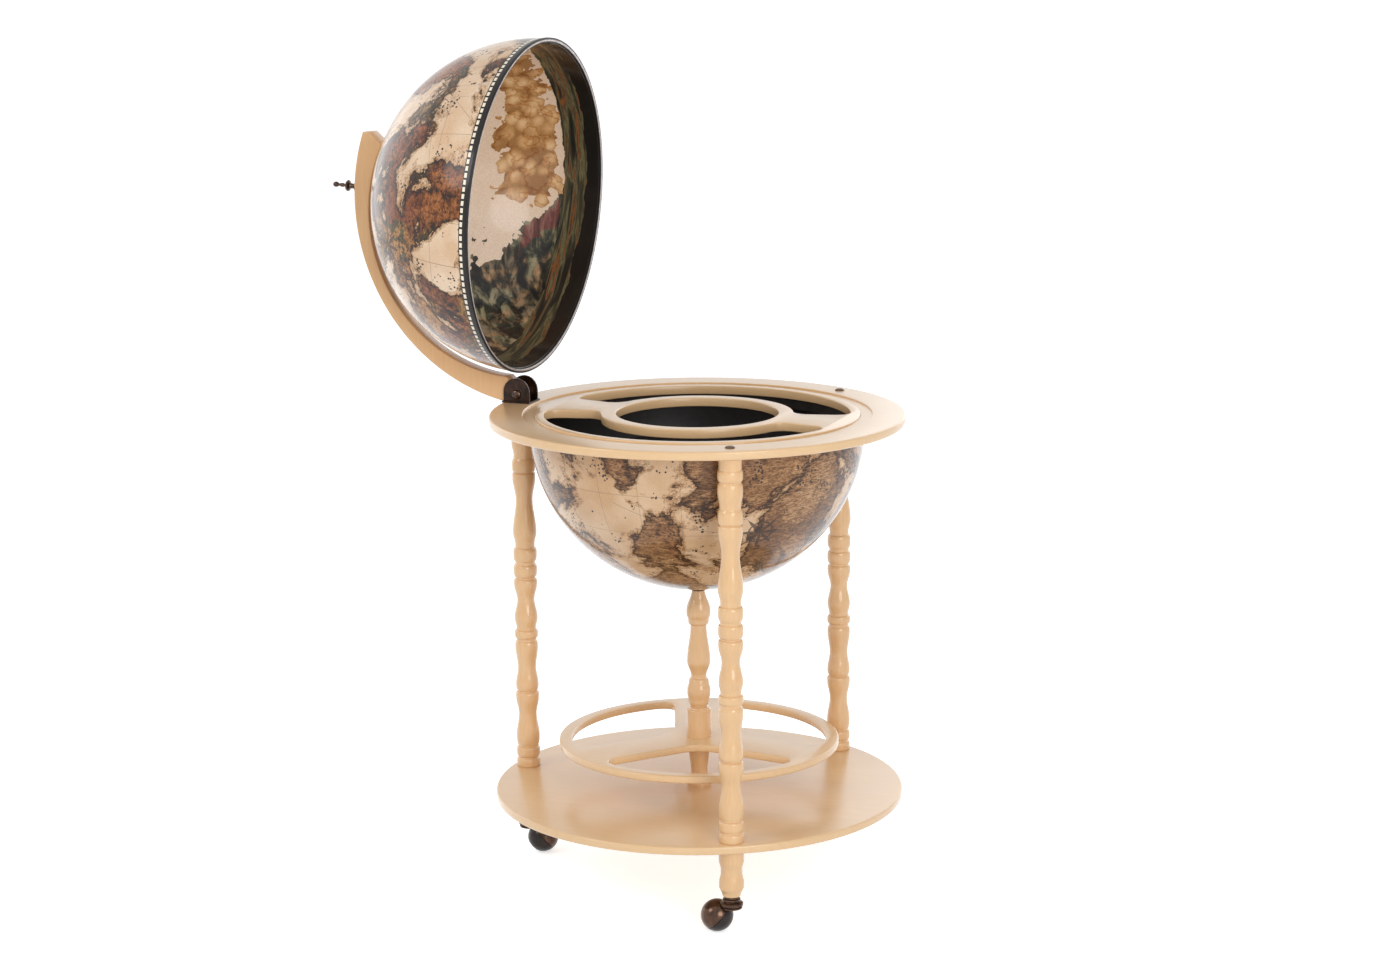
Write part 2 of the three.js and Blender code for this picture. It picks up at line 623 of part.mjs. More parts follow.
// Meridian arc, drawn as a flat outline in the plane of the hinge: [along Y, height]. Its heel is
// flat, so the opened arc stands level over the bracket's plate.
const arcCentreOuter = new THREE.Vector2(arcOuterBeside, bowlCentre + arcOuterAbove);
const arcCentreInner = new THREE.Vector2(arcInnerBeside, bowlCentre + arcInnerAbove);
const pivot = new THREE.Vector2(pivotRadius, pivotHeight);
const fromPivot = (beside, above) => pivot.clone().add(new THREE.Vector2(beside, above));
const heel = pivotRise - bracketBase - runGap;
const heelRun = baseHalfY + 2 * runGap;
const outerStart = Math.asin((pivotHeight + heelRun - arcCentreOuter.y) / arcOuterRadius);
const innerStart = Math.asin((pivotHeight + arcShoulder - arcCentreInner.y) / arcInnerRadius);
const moved = (points, by) => points.map((point) => point.clone().add(by));
const arcOutline = [
  ...moved(arcPoints(arcOuterRadius, outerStart, rearAngle + arcOuterTip, 20), arcCentreOuter),
  at(arcOuterRadius - arcTipDrop, rearAngle + arcMiddleTip).add(arcCentreOuter),
  ...moved(arcPoints(arcInnerRadius, rearAngle + arcInnerTip, innerStart, 18), arcCentreInner),
  ...moved(arcPoints(heel, Math.PI, 1.5 * Math.PI + openAngle, 6), pivot),
  fromPivot(heel / Math.sin(openAngle) + heelRun / Math.tan(openAngle), heelRun),
];
const arcBlank = standing(arcOutline, -arcThickness / 2, arcThickness / 2);
const arcHeightAt = (centre, radius, beside) => centre.y + Math.sqrt(radius ** 2 - (beside - centre.x) ** 2);
const spacerSeat = arcHeightAt(arcCentreInner, arcInnerRadius, spacerRadius) + arcSeatDepth;
const finialSeat = arcHeightAt(arcCentreOuter, arcOuterRadius, finialRadius) - arcSeatDepth;
const arcDrills = [
  acrossHinge(rod(boltHole, -boltReach, boltReach)).translate(0, pivotRadius, pivotHeight),
  rod(poleHole, spacerSeat - cutOverrun, finialSeat + cutOverrun),
  rod(spacerRadius + fitGap, spacerSeat - cutOverrun, spacerSeat),
  rod(finialRadius + fitGap, finialSeat, finialSeat + cutOverrun),
];
lid.add(named('meridian_arc', cut(arcBlank, arcDrills), wood));

// The pole: a washer and nut inside the lid, a spacer under the arc, a finial on top, one rod.
const spacerLow = lidCentre + globeRadius;
const spacerRows = scaled(spacerShares, spacerRadius, spacerLow, spacerSeat - spacerLow);
lid.add(named('pole_spacer', turnedBored(spacerRows, poleHole, smallSides), bronze));
const finialRows = scaled(finialShares, finialRadius, finialSeat, finialHeight);
lid.add(named('finial', turnedDrilled(finialRows, poleHole, finialBore + fitGap, 0, 0, smallSides), bronze));
const poleWasherTop = lidCentre + liningInner - poleWasherDrop;
const poleNutTop = poleWasherTop - poleWasherHeight;
lid.add(named('pole_washer', washer(poleHole, poleWasherRadius, poleNutTop, poleWasherTop), steel));
lid.add(named('pole_nut', hexNut(poleHole, poleNutRadius, poleNutTop - poleNutHeight, poleNutTop), steel));
const poleRodLow = poleNutTop - poleNutHeight - poleRodTail;
lid.add(named('pole_rod', rod(poleRodRadius, poleRodLow, finialSeat + finialBore), steel));

const swing = new THREE.Group();
swing.position.set(0, pivotRadius, pivotHeight);
swing.rotation.x = -openAngle;
lid.position.set(0, -pivotRadius, -pivotHeight);
swing.add(lid);
bar.add(swing);

// Ball casters. Each is drawn about its slanting axle, wheel side up, and then leaned over.
function ballRows(radius, from, to, steps) {
  return Array.from({ length: steps + 1 }, (_, i) => {
    const angle = from + (to - from) * i / steps;
    return [radius * Math.cos(angle), radius * Math.sin(angle)];
  });
}
const hoodInside = ballRadius - hoodWall;
const spaceRadius = ballRadius + wheelGap;
const hoodBall = turned([
  [0, -ballRadius], ...ballRows(ballRadius, -rearAngle, Math.asin(splitOffset / ballRadius), 6).slice(1),
  [0, splitOffset],
], ballSides);
const wheelSpace = turned([
  [0, -hoodInside], ...ballRows(hoodInside, -rearAngle, Math.asin(splitOffset / hoodInside), 5).slice(1),
  ...ballRows(spaceRadius, Math.asin(splitOffset / spaceRadius), rearAngle, 5).slice(0, -1),
  [0, spaceRadius],
], ballSides);
const axleHole = axleRadius + fitGap;
const axleBoss = turned([
  [0, -ballRadius + hoodWall / 2], [axleBossRadius, -ballRadius + hoodWall / 2],
  [axleBossRadius, -axleBossEnd], [0, -axleBossEnd],
], smallSides);
const axleDrill = rod(axleHole, -axleBlindEnd - fitGap, ballRadius);
const hubLow = -axleBossEnd + wheelGap;
const wheelStart = Math.asin((splitOffset + wheelGap) / ballRadius);
const wheelRows = [
  ...ballRows(ballRadius, wheelStart, axleTilt, 2),
  ...ballRows(ballRadius, axleTilt, Math.asin(wheelFlat / ballRadius), wheelFacets - 2).slice(1),
];
const wheel = turned([
  [axleHole, hubLow], [hubRadius, hubLow], [hubRadius, splitOffset + wheelGap], ...wheelRows,
  [axleHole, wheelFlat], [axleHole, hubLow],
], ballSides);
const axle = turned([
  [0, -axleBlindEnd], [axleRadius, -axleBlindEnd], [axleRadius, wheelFlat],
  [axleHeadRadius, wheelFlat], [axleHeadRadius, wheelFlat + axleHeadHeight / 2],
  [axleHeadRadius / 2, wheelFlat + axleHeadHeight], [0, wheelFlat + axleHeadHeight],
], smallSides);
const socketInner = stemRadius + runGap;
const socketOuter = socketInner + socketWall;
const collarTop = casterHeight - socketFlangeHeight - runGap;
const socket = turned([
  [socketInner, casterHeight - socketFlangeHeight], [socketFlange, casterHeight - socketFlangeHeight],
  [socketFlange, casterHeight], [socketOuter, casterHeight], [socketOuter, casterHeight + stemLength],
  [0, casterHeight + stemLength], [0, casterHeight + stemLength - socketWall],
  [socketInner, casterHeight + stemLength - socketWall],
  [socketInner, casterHeight - socketFlangeHeight],
], smallSides);
const stemTop = casterHeight + stemLength - socketWall - runGap;
const collar = turned([
  [0, collarFloor], ...scaled(collarShares, collarRadius, collarFloor, collarTop - collarFloor),
  [stemRadius, collarTop], [stemRadius, stemTop], [0, stemTop],
], smallSides);
for (const [side, angle] of Object.entries(legAngles)) {
  const foot = new THREE.Vector3(legCircleRadius * Math.cos(angle), legCircleRadius * Math.sin(angle), 0);
  const trail = casterTrails[side];
  const ball = new THREE.Vector3(ballTrail * Math.cos(trail), ballTrail * Math.sin(trail), ballRadius);
  const bearing = trail - axleToTrail;
  const lean = new THREE.Matrix4().makeRotationZ(bearing)
    .multiply(new THREE.Matrix4().makeRotationY(rearAngle + axleTilt));
  const toBall = (geometry) => geometry.clone().applyMatrix4(lean).translate(ball.x, ball.y, ball.z);
  const body = join(toBall(hoodBall), [collar]);
  const hollow = cut(body, [toBall(wheelSpace)]);
  const hood = cut(join(hollow, [toBall(axleBoss)]), [toBall(axleDrill)]);
  const caster = new THREE.Group();
  caster.position.copy(foot);
  caster.add(named(`${side}_caster_socket`, socket, steel));
  caster.add(named(`${side}_caster_hood`, hood, bronze));
  caster.add(named(`${side}_caster_wheel`, toBall(wheel), blackPlastic));
  caster.add(named(`${side}_caster_axle`, toBall(axle), steel));
  bar.add(caster);
}

// The origin goes to the middle of the model's box, at floor level.
const box = new THREE.Box3().setFromObject(bar, true);
const middle = box.getCenter(new THREE.Vector3());
bar.position.set(-middle.x, -middle.y, -box.min.z);

const part = new THREE.Group();
part.add(bar);
part.updateMatrixWorld(true);
export default part;
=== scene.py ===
import json

import bmesh
import bpy
import numpy as np
from mathutils import Matrix, Vector


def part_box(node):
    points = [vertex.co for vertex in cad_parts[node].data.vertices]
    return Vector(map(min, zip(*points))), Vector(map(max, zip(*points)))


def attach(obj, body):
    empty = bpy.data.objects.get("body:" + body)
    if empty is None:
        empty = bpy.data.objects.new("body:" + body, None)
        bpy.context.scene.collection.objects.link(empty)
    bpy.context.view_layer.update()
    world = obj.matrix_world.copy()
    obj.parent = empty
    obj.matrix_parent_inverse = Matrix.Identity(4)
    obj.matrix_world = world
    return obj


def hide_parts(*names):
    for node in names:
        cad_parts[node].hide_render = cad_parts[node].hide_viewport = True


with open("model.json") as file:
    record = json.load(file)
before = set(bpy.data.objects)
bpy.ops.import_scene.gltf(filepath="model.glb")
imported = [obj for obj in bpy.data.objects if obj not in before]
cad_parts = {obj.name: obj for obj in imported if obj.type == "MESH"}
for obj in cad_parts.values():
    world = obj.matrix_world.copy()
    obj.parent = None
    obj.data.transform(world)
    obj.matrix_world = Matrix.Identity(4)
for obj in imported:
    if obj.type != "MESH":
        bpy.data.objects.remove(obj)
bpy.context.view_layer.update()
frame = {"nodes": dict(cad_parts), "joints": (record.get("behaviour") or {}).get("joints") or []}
joints = {joint["name"]: joint for joint in frame["joints"]}
mm = 0.001


# Base shelf. A round board of fibreboard, machined with a small round on both edges and sprayed
# with cream-beige lacquer. Its middle is the bar's upright axis.
def hue(code):
    """An sRGB hex colour in linear light, with alpha 1."""
    share = np.array([int(code[k : k + 2], 16) for k in (1, 3, 5)]) / 255
    linear = np.where(share <= 0.04045, share / 12.92, ((share + 0.055) / 1.055) ** 2.4)
    return (*linear, 1.0)


def add(tree, kind, inputs=(), **settings):
    """Adds a shader node with its settings. Its kind may end with the operation of a maths node.
    Inputs, given by place or by name, are values or nodes, and stops are positions and hex colours."""
    kind, _, operation = kind.partition(" ")
    node = tree.nodes.new("ShaderNode" + kind)
    if operation:
        node.operation = operation
    for key, value in settings.items():
        if key == "stops":
            elements = node.color_ramp.elements
            while len(elements) < len(value):
                elements.new(1)
            for element, (position, colour) in zip(elements, value):
                element.position = position
                element.color = hue(colour)
        else:
            setattr(node, key, value)
    sockets = [socket for socket in node.inputs if socket.enabled]
    for key, value in inputs.items() if isinstance(inputs, dict) else enumerate(inputs):
        socket = sockets[key] if isinstance(key, int) else node.inputs[key]
        if isinstance(value, bpy.types.Node):
            value = next(output for output in value.outputs if output.enabled)
        if isinstance(value, bpy.types.NodeSocket):
            tree.links.new(value, socket)
        else:
            socket.default_value = value
    return node


def finish(name):
    """An empty material. Returns it, its node tree and the socket of the place on the object."""
    made = bpy.data.materials.new(name)
    made.use_nodes = True
    made.node_tree.nodes.clear()
    return made, made.node_tree, add(made.node_tree, "TexCoord").outputs["Object"]


def lacquered_wood(name, grain_stretch, light, dark, coat, softness):
    """Opaque cream lacquer on wood. The colour drifts in clouds 90 mm wide, with barely visible
    streaks along the grain, 3 mm apart, and the skin has the faint ripple that a spray gun leaves,
    6 mm from crest to crest, under a clear coat whose softness blurs what it reflects."""
    made, tree, spot = finish(name)
    streak_gap, cloud_gap, ripple_gap = 3 * mm, 90 * mm, 6 * mm
    along_grain = add(tree, "Mapping", {"Vector": spot, "Scale": grain_stretch})
    streaks = add(tree, "TexNoise", {"Vector": along_grain, "Scale": 1 / streak_gap, "Detail": 4.0})
    clouds = add(tree, "TexNoise", {"Vector": spot, "Scale": 1 / cloud_gap, "Detail": 2.0})
    both = add(tree, "Mix", [0.5, streaks, clouds])
    colour = add(tree, "ValToRGB", [both], stops=[(0.35, dark), (0.62, light)])
    ripple = add(tree, "TexNoise", {"Vector": spot, "Scale": 1 / ripple_gap, "Detail": 1.0})
    bump = add(tree, "Bump", {"Height": ripple, "Strength": 0.25, "Distance": 0.05 * mm})
    shader = add(tree, "BsdfPrincipled", {
        "Base Color": colour, "Roughness": 0.4, "Specular IOR Level": 0.2, "Normal": bump,
        "Coat Weight": coat, "Coat Roughness": softness,
    })
    add(tree, "OutputMaterial", {"Surface": shader})
    return made


def show(name, data):
    """An object with its data, linked to the scene."""
    shown = bpy.data.objects.new(name, data)
    bpy.context.scene.collection.objects.link(shown)
    return shown


def smooth_piece(name, mesh, material, sharp):
    """A piece from a mesh. Points that fall together become one, faces look outward, and shading is
    smooth but for edges sharper than an angle in degrees."""
    work = bmesh.new()
    work.from_mesh(mesh)
    bmesh.ops.remove_doubles(work, verts=work.verts, dist=1e-3 * mm)
    bmesh.ops.recalc_face_normals(work, faces=work.faces)
    work.to_mesh(mesh)
    work.free()
    mesh.shade_smooth()
    mesh.set_sharp_from_angle(angle=np.radians(sharp))
    mesh.materials.clear()
    mesh.materials.append(material)
    return show(name, mesh)


def revolve(name, outline, centre, material, sides, sharp=40):
    """A turned piece: the outline's [radius, height] rows are carried round the upright line through
    the centre, so x = radius cos(turn) and y = radius sin(turn), with a face in each cell."""
    radius, height = np.asarray(outline, float).T
    turn = np.linspace(0, 2 * np.pi, sides, endpoint=False)
    x = centre[0] + np.outer(radius, np.cos(turn))
    y = centre[1] + np.outer(radius, np.sin(turn))
    z = np.outer(height, np.ones(sides))
    i, j = np.meshgrid(np.arange(len(radius) - 1), np.arange(sides), indexing="ij")
    above, beside = i + 1, (j + 1) % sides
    corners = [i * sides + j, i * sides + beside, above * sides + beside, above * sides + j]
    mesh = bpy.data.meshes.new(name)
    points = np.stack([x, y, z], -1).reshape(-1, 3)
    mesh.from_pydata(points, [], np.stack(corners, -1).reshape(-1, 4).tolist())
    return smooth_piece(name, mesh, material, sharp)


def arc(radius, start, end, steps, centre=(0, 0)):
    """Points on a circle between two angles."""
    angle = np.linspace(start, end, steps + 1)
    return np.column_stack([centre[0] + radius * np.cos(angle), centre[1] + radius * np.sin(angle)])


def round_rim(radius, low, high, edge, steps=5):
    """The outer edge of a board from its underside to its top, with a quarter circle at each corner."""
    lower = arc(edge, -np.pi / 2, 0, steps, (radius - edge, low + edge))
    return np.vstack([lower, arc(edge, 0, np.pi / 2, steps, (radius - edge, high - edge))])


def place(piece, body, slot, *nodes):
    """Hangs a finished piece on its body and lets it stand for its nodes. The slot, the name of its
    finish, is not used.
    """
    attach(piece, body)
    if nodes:
        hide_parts(*nodes)


board_lacquer = lacquered_wood(
    "sprayed_cream_lacquer_on_board", (1.0, 0.06, 1.0), "#E3BE90", "#DEB787", coat=1.0, softness=0.24)
shelf_low, shelf_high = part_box("base_shelf")
axis = (shelf_low + shelf_high) / 2
shelf_radius, shelf_edge = (shelf_high.x - shelf_low.x) / 2, 2.5 * mm
shelf_rim = round_rim(shelf_radius, shelf_low.z, shelf_high.z, shelf_edge)
shelf_outline = np.vstack([[[0, shelf_low.z]], shelf_rim, [[0, shelf_high.z]]])
shelf = revolve("shelf_board", shelf_outline, axis, board_lacquer, sides=192)
place(shelf, "stand", "lacquered_wood", "base_shelf")


# Legs and feet. Turned beech spindles, all alike, with beads, coves and long vase shapes, and a
# short turned foot below the shelf, under the same lacquer as the boards.
def turned_outline(turning_points, steps=8, bead=0):
    """Between two turning points the radius swings as half a cosine wave, as a gouge leaves it. Where
    they are closer than a bead is high, it follows a quarter ellipse, round at the crest and sharp in
    the groove, as a skew chisel leaves it."""
    radius, height = np.asarray(turning_points, float).T
    share = np.linspace(0, 1, steps, endpoint=False)
    rise, climb = np.diff(radius)[:, None], np.diff(height)[:, None]
    wave = (1 - np.cos(np.pi * share)) / 2
    upward, downward = np.sqrt(1 - (1 - share) ** 2), 1 - np.sqrt(1 - share**2)
    swing = np.where(np.abs(climb) < bead, np.where(rise > 0, upward, downward), wave)
    between = (radius[:-1, None] + rise * swing).ravel()
    level = (height[:-1, None] + climb * share).ravel()
    return np.column_stack([np.append(between, radius[-1]), np.append(level, height[-1])])


def turned_piece(name, shares, node, material, bead=0):
    """A spindle in a node's place: its turning points are shares of the node's radius and height."""
    low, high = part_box(node)
    middle = (low + high) / 2
    radius = (high.y - low.y) / 2
    rows = np.asarray(shares, float) * (radius, high.z - low.z) + (0, low.z)
    outline = turned_outline(rows, 8, bead)
    closed = np.vstack([[[0, low.z]], outline, [[0, high.z]]])
    return revolve(name, closed, middle, material, 64, sharp=50)


spindle_lacquer = lacquered_wood(
    "sprayed_cream_lacquer_on_beech", (1.0, 1.0, 0.08), "#E3BA89", "#DDB180", coat=0.9, softness=0.14)
leg_bead = 14.5 * mm
leg_shares = [
    [0.95, 0], [1, 0.004], [1, 0.014], [0.86, 0.024], [0.86, 0.028], [0.99, 0.037], [0.99, 0.048],
    [0.84, 0.056], [0.86, 0.06], [0.985, 0.088], [0.755, 0.149], [0.99, 0.198], [0.99, 0.206],
    [0.81, 0.213], [0.82, 0.216], [0.97, 0.232], [0.775, 0.281], [0.975, 0.343], [0.84, 0.357],
    [0.84, 0.364], [0.99, 0.373], [0.99, 0.381], [0.81, 0.388], [0.82, 0.391], [0.975, 0.422],
    [0.73, 0.473], [0.99, 0.517], [0.99, 0.524], [0.83, 0.532], [0.83, 0.536], [0.995, 0.552],
    [0.995, 0.562], [0.84, 0.572], [0.84, 0.58], [0.995, 0.598], [0.995, 0.607], [0.81, 0.619],
    [0.82, 0.627], [1, 0.662], [0.715, 0.751], [0.98, 0.816], [0.98, 0.823], [0.86, 0.828],
    [0.86, 0.83], [0.98, 0.838], [0.985, 0.847], [0.845, 0.868], [0.845, 0.876], [1, 0.909],
    [1, 0.918], [0.85, 0.936], [0.85, 0.939], [0.99, 0.947], [1, 0.957], [0.9, 0.968],
    [0.9, 0.99], [0.93, 1],
]
foot_shares = [
    [0.72, 0], [0.75, 0.03], [0.985, 0.2], [0.985, 0.29], [0.85, 0.5], [0.85, 0.57], [1, 0.78],
    [1, 0.86], [0.98, 1],
]
for side in ("rear", "left", "right"):
    leg = turned_piece(f"{side}_turned_leg", leg_shares, f"{side}_leg", spindle_lacquer, leg_bead)
    place(leg, "stand", "lacquered_wood", f"{side}_leg")
    foot = turned_piece(f"{side}_turned_foot", foot_shares, f"{side}_foot", spindle_lacquer)
    place(foot, "stand", "lacquered_wood", f"{side}_foot")


# Ball casters. Each has a bronze-plated cast hood on a swivel collar and a dark moulded wheel that
# makes the rest of the ball, on a slanted axle, with a steel socket pressed into the foot.
def plated_bronze(name, light, dark, roughness, coat=0.3):
    """Dark bronze plating: metal with slow brown clouds about 8 mm wide and a fine 0.8 mm grain from
    the casting under it, which softens the highlights."""
    made, tree, spot = finish(name)
    cloud_gap, grain_gap = 8 * mm, 0.8 * mm
    clouds = add(tree, "TexNoise", {"Vector": spot, "Scale": 1 / cloud_gap, "Detail": 5.0})
    colour = add(tree, "ValToRGB", [clouds], stops=[(0.35, dark), (0.65, light)])
    grain = add(tree, "TexNoise", {"Vector": spot, "Scale": 1 / grain_gap, "Detail": 2.0})
    bump = add(tree, "Bump", {"Height": grain, "Strength": 0.3, "Distance": 0.04 * mm})
    shader = add(tree, "BsdfPrincipled", {
        "Base Color": colour, "Metallic": 0.75, "Roughness": roughness, "Normal": bump,
        "Coat Weight": coat, "Coat Roughness": 0.2,
    })
    add(tree, "OutputMaterial", {"Surface": shader})
    return made


def moulded_plastic(name, light, dark, roughness):
    """Injection-moulded plastic: near-even colour with a faint marbling 12 mm wide, and a soft skin
    texture of 1 mm that breaks up the shine."""
    made, tree, spot = finish(name)
    cloud_gap, skin_gap = 12 * mm, 1 * mm
    clouds = add(tree, "TexNoise", {"Vector": spot, "Scale": 1 / cloud_gap, "Detail": 3.0})
    colour = add(tree, "ValToRGB", [clouds], stops=[(0.35, dark), (0.65, light)])
    skin = add(tree, "TexNoise", {"Vector": spot, "Scale": 1 / skin_gap, "Detail": 1.0})
    bump = add(tree, "Bump", {"Height": skin, "Strength": 0.2, "Distance": 0.03 * mm})
    shader = add(tree, "BsdfPrincipled", {
        "Base Color": colour, "Roughness": roughness, "Specular IOR Level": 0.3, "Normal": bump,
    })
    add(tree, "OutputMaterial", {"Surface": shader})
    return made


def plain_steel(name, light, dark, roughness=0.35):
    """Bright plated metal: light grey with soft spangle patches about 3 mm wide."""
    made, tree, spot = finish(name)
    spangle_gap = 3 * mm
    spangle = add(tree, "TexVoronoi", {"Vector": spot, "Scale": 1 / spangle_gap})
    shade = add(tree, "SeparateColor", {"Color": spangle.outputs["Color"]})
    colour = add(tree, "ValToRGB", [shade], stops=[(0.1, dark), (0.9, light)])
    shader = add(tree, "BsdfPrincipled", {
        "Base Color": colour, "Metallic": 1.0, "Roughness": roughness,
    })
    add(tree, "OutputMaterial", {"Surface": shader})
    return made


def plate_nodes(material, *nodes):
    """Gives a material to nodes that keep their own mesh."""
    for node in nodes:
        frame["nodes"][node].material_slots[0].material = material


def ball_part(name, outline, middle, lean, material):
    """A turned piece whose own axis leans: the outline is carried round z at the origin, then z is
    laid along the wheel's axle and the piece is moved to the ball's middle."""
    piece = revolve(name, outline, (0, 0), material, 64)
    piece.data.transform(Matrix.Translation(middle) @ lean)
    return piece


caster_bronze = plated_bronze("bronze_plated_die_casting", "#5C3F2D", "#3A271B", 0.22)
caster_plastic = moulded_plastic("dark_brown_moulded_nylon", "#2A1F1B", "#1C1512", 0.2)
zinc_steel = plain_steel("zinc_plated_steel", "#C9C9CC", "#9C9CA0")
ball_radius = 21.5 * mm
hood_wall = 2 * mm
wheel_low, wheel_flat, groove_floor = 0.6 * mm, 19.8 * mm, 19 * mm
hub_radius, hub_low = 8 * mm, -7.4 * mm
axle_radius = 2.3 * mm
hood_outline = np.vstack([
    arc(ball_radius, -np.pi / 2, 0, 20), arc(ball_radius - hood_wall, 0, -np.pi / 2, 20),
])
wheel_edge, flat_edge = np.arcsin(wheel_low / ball_radius), np.arcsin(wheel_flat / ball_radius)
wheel_outline = np.vstack([
    [[axle_radius, hub_low], [hub_radius, hub_low], [hub_radius, wheel_low]],
    arc(ball_radius, wheel_edge, flat_edge, 20),
    [[6 * mm, wheel_flat], [5.4 * mm, groove_floor], [4.2 * mm, groove_floor]],
    [[3.6 * mm, wheel_flat], [axle_radius, wheel_flat], [axle_radius, hub_low]],
])
collar_radius, collar_low, collar_high = 15.2 * mm, 33 * mm, 49.7 * mm
collar_shares = [
    [0.2, 0.02], [0.8, 0.02], [0.92, 0.07], [0.93, 0.17], [0.85, 0.21], [0.86, 0.25], [1, 0.31],
    [1, 0.48], [0.9, 0.55], [0.72, 0.6], [0.66, 0.66], [0.76, 0.72], [0.76, 0.82], [0.62, 0.88],
    [0.62, 0.97], [0.2, 0.97],
]
for side in ("rear", "left", "right"):
    roll, swivel = joints[f"{side}_roll"], joints[f"{side}_swivel"]
    middle, stem = Vector(roll["pos_m"]), Vector(swivel["pos_m"])
    lean = Vector(roll["axis"]).to_track_quat("Z", "Y").to_matrix().to_4x4()
    hood = ball_part(f"{side}_ball_hood", hood_outline, middle, lean, caster_bronze)
    place(hood, f"{side}_caster", "bronze_cast")
    rows = np.array(collar_shares) * (collar_radius, collar_high - collar_low) + (0, collar_low)
    collar = revolve(f"{side}_swivel_collar", turned_outline(rows, 5), stem, caster_bronze, 48)
    place(collar, f"{side}_caster", "bronze_cast", f"{side}_caster_hood")
    wheel = ball_part(f"{side}_ball_wheel", wheel_outline, middle, lean, caster_plastic)
    place(wheel, f"{side}_wheel", "wheel_plastic", f"{side}_caster_wheel")
    plate_nodes(zinc_steel, f"{side}_caster_axle", f"{side}_caster_socket")


# Centre column. Two turned lengths of the same lacquered beech stand under the bowl, above and
# below the rack, with a black washer at the top and a steel rod and nuts that clamp them.
column_shares = [
    [0.97, 0], [0.98, 0.006], [0.98, 0.182], [0.84, 0.192], [0.62, 0.206], [0.62, 0.215],
    [0.8, 0.232], [0.83, 0.242], [0.94, 0.305], [0.94, 0.325], [0.82, 0.368], [0.8, 0.378],
    [0.62, 0.402], [0.62, 0.418], [0.94, 0.515], [0.64, 0.767], [0.82, 0.783], [0.83, 0.795],
    [0.97, 0.842], [0.97, 0.862], [0.53, 1],
]
spindle_shares = [[1, 0], [1, 0.14], [0.67, 0.19], [0.65, 0.3], [0.83, 0.9], [0.82, 1]]
column_bead = 7 * mm
column = turned_piece(
    "upper_turned_column", column_shares, "centre_column", spindle_lacquer, column_bead)
place(column, "stand", "lacquered_wood", "centre_column")
spindle = turned_piece("lower_turned_column", spindle_shares, "lower_column", spindle_lacquer)
place(spindle, "stand", "lacquered_wood", "lower_column")
washer_plastic = moulded_plastic("black_moulded_washer_plastic", "#171312", "#0E0B0A", 0.6)
low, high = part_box("column_washer")
washer_radius, rod_bore, chamfer = (high.x - low.x) / 2, 4.3 * mm, 1 * mm
washer_rows = [
    [rod_bore, low.z], [washer_radius - chamfer, low.z], [washer_radius, low.z + chamfer],
    [washer_radius, high.z - chamfer], [washer_radius - chamfer, high.z], [rod_bore, high.z],
    [rod_bore, low.z],
]
washer = revolve("column_top_washer", washer_rows, axis, washer_plastic, 48)
place(washer, "stand", "black_plastic", "column_washer")
plate_nodes(zinc_steel, "tie_rod", "tie_rod_top_nut", "tie_rod_bottom_nut")


# Rack over the shelf. A thin board with three rounded cut-outs that leave a rim and three webs, held
# on the column. The cut edges are rounded over and lacquered with the face.
def cut_board(name, outlines, low, high, edge, material):
    """A flat board: the first outline is its edge and the others are its holes. The sheet between
    them lies at mid height and grows both ways, with quarter rounds along every edge."""
    curve = bpy.data.curves.new(name, "CURVE")
    curve.dimensions = "2D"
    curve.fill_mode = "BOTH"
    curve.extrude = (high - low) / 2 - edge
    curve.bevel_depth = edge
    curve.bevel_resolution = 2
    curve.offset = -edge
    for outline in outlines:
        spline = curve.splines.new("POLY")
        spline.points.add(len(outline) - 1)
        flat = np.column_stack([outline, np.zeros(len(outline)), np.ones(len(outline))])
        spline.points.foreach_set("co", flat.ravel())
        spline.use_cyclic_u = True
    drawn = bpy.data.objects.new(name + "_drawn", curve)
    mesh = bpy.data.meshes.new_from_object(drawn)
    bpy.data.objects.remove(drawn)
    mesh.transform(Matrix.Translation((0, 0, (low + high) / 2)))
    return smooth_piece(name, mesh, material, sharp=40)


def fillet(before, corner, after, reach, steps=8):
    """A round corner: a quadratic curve that starts and ends a reach away from the corner."""
    before, corner, after = (np.asarray(point, float) for point in (before, corner, after))
    start = corner + (before - corner) * reach / np.linalg.norm(before - corner)
    end = corner + (after - corner) * reach / np.linalg.norm(after - corner)
    t = np.linspace(0, 1, steps + 1)[:, None]
    return (1 - t) ** 2 * start + 2 * t * (1 - t) * corner + t**2 * end


def turned_about(points, angle, centre):
    """Flat points turned about the origin and then moved to a centre."""
    spin = np.array([[np.cos(angle), -np.sin(angle)], [np.sin(angle), np.cos(angle)]])
    return np.asarray(points) @ spin.T + np.array([centre[0], centre[1]])


rack_low, rack_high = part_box("bottle_rack")
rack_radius = (rack_high.x - rack_low.x) / 2
opening_radius, opening_vertex, opening_corner = 174 * mm, 39 * mm, 26 * mm
opening_span = np.radians(48.7)
corner_turn = opening_corner / opening_radius
corner_low, corner_high = arc(opening_radius, -opening_span, opening_span, 1)
rim_arc = arc(opening_radius, corner_turn - opening_span, opening_span - corner_turn, 48)
opening = np.vstack([
    rim_arc[:-1],
    fillet(rim_arc[-1], corner_high, (opening_vertex, 0), opening_corner)[:-1],
    fillet(corner_high, (opening_vertex, 0), corner_low, opening_corner),
    fillet((opening_vertex, 0), corner_low, rim_arc[0], opening_corner)[:-1],
])
rack_turns, rack_edge = np.radians([80.8, 200.8, 320.8]), 2 * mm
rack_outlines = [arc(rack_radius, 0, 2 * np.pi, 192, axis)[:-1]]
rack_outlines += [turned_about(opening, turn, axis) for turn in rack_turns]
